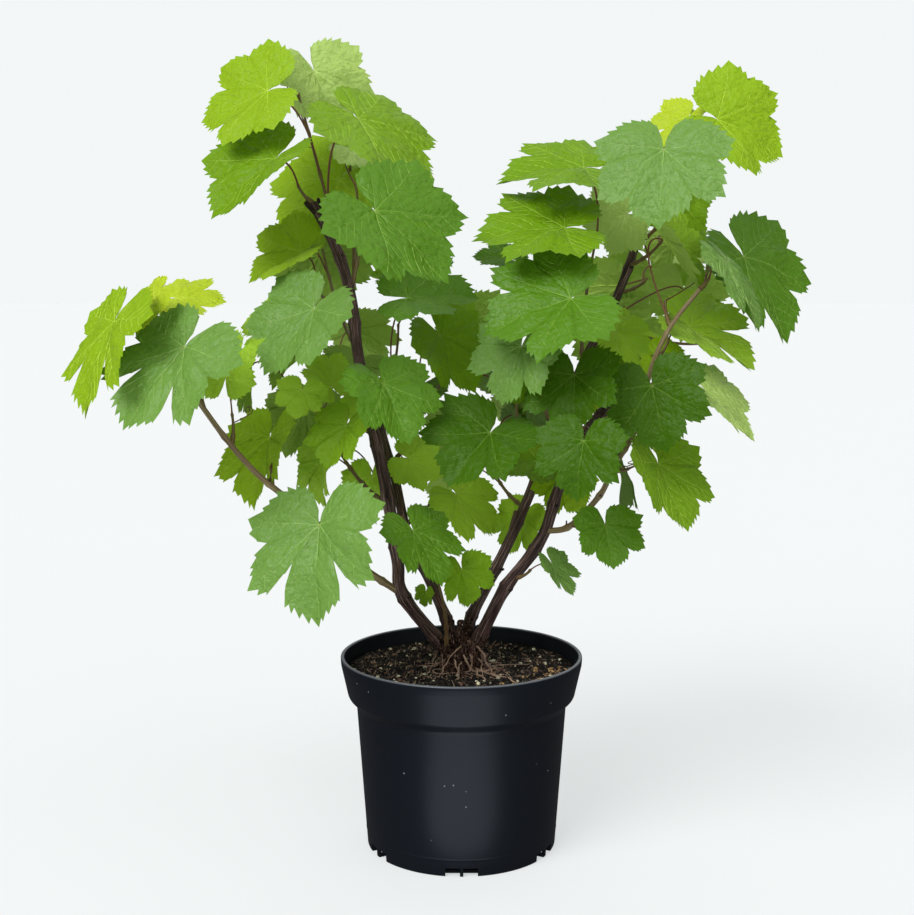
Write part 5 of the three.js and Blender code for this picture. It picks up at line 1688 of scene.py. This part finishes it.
bodies = [turned(np.array([(0, 0), *STUMP_SIDE, (0, 31)], float), 40, lobed)]
random = seeded(5)
for x, y, top, radius in STUBS:
    foot, tip = np.array([x * 0.6, y * 0.6, STUMP_FOOT + 8]), np.array([x, y, top])
    knee = (foot + tip) / 2 + (0.2 * x + 2 * random() - 1, 0.2 * y, 0)
    bodies.append(sweep(bow(foot, knee, tip, 6), radius * STUB_BODY))
for name in old_canes:
    line, radii, _ = limb_path(name, 3)
    base = line[0] * (1.05, 1.15, 0) + (0, 0, CANE_DEPTH)
    below = bow(base, (base + line[0]) / 2 + (0, 0, 3), line[0], 4)[:-1]
    above = radii[:CANE_STEPS] * np.linspace(1.18, 1, CANE_STEPS)
    girth = np.concatenate([radii[0] * np.linspace(1.15, 1.2, 4), above])
    bodies.append(sweep(np.vstack([below, line[:CANE_STEPS]]), girth))
for _ in range(KNOBS):
    turn, height, knob = ROUND * random(), 2 + 24 * random(), 2.2 + 3.2 * random()
    out = np.interp(height, STUMP_HEIGHTS, KNOBS_OUT)
    standing = away(turn, out, STUMP_FOOT + height) + np.outer([-0.8, -0.35, 0.35, 0.8], (0, 0, knob))
    bodies.append(sweep(standing, knob * KNOB_BODY, 10))
for k in range(ROOT_FEET):
    turn = 2 * math.pi * (k + 0.8 * random()) / ROOT_FEET
    foot, knee, tip = away(turn, 9, 178), away(turn, 17, 171), away(turn, 22 + 12 * random(), 164.5)
    bodies.append(sweep(bow(foot, knee, tip, 8), np.linspace(3.4, 1, 9), 10))

# %% Melt them together
MELT, SOFTEN = 0.0011, 2  # the remesh's cells in metres, and rounds of smoothing
points, faces, start = [], [], 0
for places, corners in bodies:
    points.append(places)
    faces += [[c + start for c in corner] for corner in corners]
    start += len(places)
raw = finished("stump_raw", new_mesh("stump_raw", np.vstack(points), faces))
melt = raw.modifiers.new("melt", "REMESH")
melt.mode, melt.voxel_size = "VOXEL", MELT
soften = raw.modifiers.new("soften", "SMOOTH")
soften.factor, soften.iterations = 0.5, SOFTEN
stump_mesh = bpy.data.meshes.new_from_object(raw.evaluated_get(bpy.context.evaluated_depsgraph_get()))
bpy.data.objects.remove(raw)
print("melted into", len(stump_mesh.polygons), "faces")

# %% Bark relief of the stump
FIBRE_SCALE, KNOB_SCALE = (0.4, 0.4, 0.075), 0.2
FIBRE_HEIGHT, FIBRE_LEVEL, KNOB_HEIGHT = 0.95, 1.2, 2.6
places = np.array([v.co for v in stump_mesh.vertices]) / MM
normals = np.array([v.normal for v in stump_mesh.vertices])
grain = places * FIBRE_SCALE
ridges = np.array([noise.ridged_multi_fractal(Vector(g), 1.0, 2.1, 4, 1.0, 2.0) for g in grain])
knobs = np.array([noise.noise(Vector(p * KNOB_SCALE)) for p in places])
moved = places + normals * (FIBRE_HEIGHT * (ridges - FIBRE_LEVEL) + KNOB_HEIGHT * knobs)[:, None]
moved[:, 2] = np.maximum(moved[:, 2], STUMP_FOOT)
stump_mesh.vertices.foreach_set("co", (moved * MM).ravel())
store(stump_mesh, "grain", "FLOAT_VECTOR", grain)
stump_mesh.polygons.foreach_set("use_smooth", [True] * len(stump_mesh.polygons))
stops = [(0.42, (5, 3, 2)), (0.48, (34, 21, 16)), (0.55, (88, 62, 50)), (0.64, (176, 146, 128))]
stump_bark = mottled(
    "stump_bark", (48, 31, 25), 0.8, 3.2, stops, (1.0, 0.0018), {"Specular IOR Level": 0.15},
    attribute="grain", stretch=(1, 1, 0.7), detail=7, roughness=0.7)[0]
stump_mesh.materials.clear()
stump_mesh.materials.append(stump_bark)
stump = finished("stump_head", stump_mesh)
hand_over(stump, "bark", "stump")

# %% [markdown]
# Thin dry roots hang on the stump's foot like straw. Each starts on the stump, falls or arches to
# the soil, and goes on over it. Hair would be quicker, but it isn't a mesh that can be handed
# over, and a walk step by step can follow the uneven soil.

# %% Dry roots that fall and wander
stops = [(0.38, (66, 44, 35)), (0.5, (136, 106, 86)), (0.62, (192, 166, 144))]
dry_root = mottled("dry_root", (142, 112, 90), 0.8, 3, stops, **DEAD_GRAIN, detail=4)[0]
ROOTS, ROOT_STRIDE = 18, 1.6
CURL_KEPT, CURL_CHANCE = 0.7, 0.5  # the share of its turning that a root keeps, and what chance adds
FALLING_PACE, ROOT_LIFT = 0.55, 0.5  # a falling root goes out more slowly, a lying one is this high
FALLING_THICK = (0.32, 0.75)  # the least radius, and chance's part


def wandering_root(random):
    """A root that falls from the stump's side and wanders over the soil by chance."""
    turn, height = ROUND * random(), 4 + 24 * random() ** 1.5
    out = np.interp(height, STUMP_HEIGHTS, ROOTS_OUT)
    spot = away(turn, out, STUMP_FOOT + height)
    heading, fall = turn + 1.2 * (random() - 0.5), 0.7 + 0.6 * random()
    line, curl = [spot], 0.0
    for _ in range(int(14 + 30 * random())):
        curl = CURL_KEPT * curl + CURL_CHANCE * (random() - 0.5)
        heading += curl
        ground = soil_height(spot[0], spot[1]) + 0.8
        falling = spot[2] > ground + 1.5
        pace = ROOT_STRIDE * (FALLING_PACE if falling else 1)
        drop = fall * ROOT_STRIDE if falling else 0
        spot = spot + (pace * math.cos(heading), pace * math.sin(heading), -drop)
        spot[2] = max(spot[2], soil_height(spot[0], spot[1]) + ROOT_LIFT + 0.8 * random())
        line.append(spot)
    line = np.array(line)
    for _ in range(3):
        line[1:-1] = (line[:-2] + 2 * line[1:-1] + line[2:]) / 4
    line[-3:, 2] -= (0.6, 1.4, 2.6)
    thick = FALLING_THICK[0] + FALLING_THICK[1] * random() ** 2
    return line, thick * np.linspace(1.5, 0.6, len(line))


print("a root that falls:", len(wandering_root(seeded(1))[0]), "points")


# %% Roots that arch, and all roots as one piece
ARCHED_ROOTS, ARCH_STEPS, CREEP_STRIDE, WIGGLE, WIGGLE_SCALE = 20, 16, 1.8, 4, 0.15
ARCHED_THICK = (0.32, 0.6)


def arched_root(k, random):
    """A root that leaves the stump's side in an arch and comes down on the soil like a spider's leg."""
    turn = 2 * math.pi * (k + 0.9 * random()) / ARCHED_ROOTS
    start, land = 9 + 4 * random(), 19 + 20 * random() ** 1.5
    lift = 8 + 22 * random()
    bend = turn + 1.5 * (random() - 0.5)
    foot, tip = away(turn, start, STUMP_FOOT + lift), away(bend, land, 0)
    tip[2] = soil_height(tip[0], tip[1]) + 0.4
    line = bow(foot, (foot + tip) / 2 + away(bend, 2.5, 0.35 * lift), tip, ARCH_STEPS)
    past = tip + np.outer(np.arange(1, 6 + int(7 * random())), away(bend, CREEP_STRIDE, 0))
    sway = 1.4 * random() * np.sin(0.8 * np.arange(len(past)) + 6 * random())
    past[:, 0] -= sway * math.sin(bend)
    past[:, 1] += sway * math.cos(bend)
    past[:, 2] = [soil_height(x, y) + ROOT_LIFT for x, y, _ in past]
    past[-1, 2] -= 2
    line = np.vstack([line, past])
    wiggle = np.array([[noise.noise(Vector(p * WIGGLE_SCALE + (0, 0, 9 * axis))) for axis in range(3)]
                       for p in line])
    line += WIGGLE * wiggle * np.minimum(np.arange(len(line)) / 6, 1)[:, None] * (1, 1, 0.3)
    thick = ARCHED_THICK[0] + ARCHED_THICK[1] * random() ** 2
    return line, thick * np.linspace(1.6, 0.55, len(line))


random = seeded(8)
roots = [wandering_root(random) for _ in range(ROOTS)]
roots += [arched_root(k, random) for k in range(ARCHED_ROOTS)]
piece = grow_tubes("surface_roots", roots, dry_root, sides=7, height=0.3, around=1.5, along=90.0)
hand_over(piece, "bark", "stump")

# %% [markdown]
# ## The sizes
# Both boxes, the CAD model's and the dressed plant's, are printed. The plant may not be larger
# than its CAD model.

# %% Write the sizes and finish
own_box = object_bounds()
for label, box in (("CAD box", cad_box), ("dressed box", own_box)):
    print(label, [[round(float(c), 4) for c in corner] for corner in box])
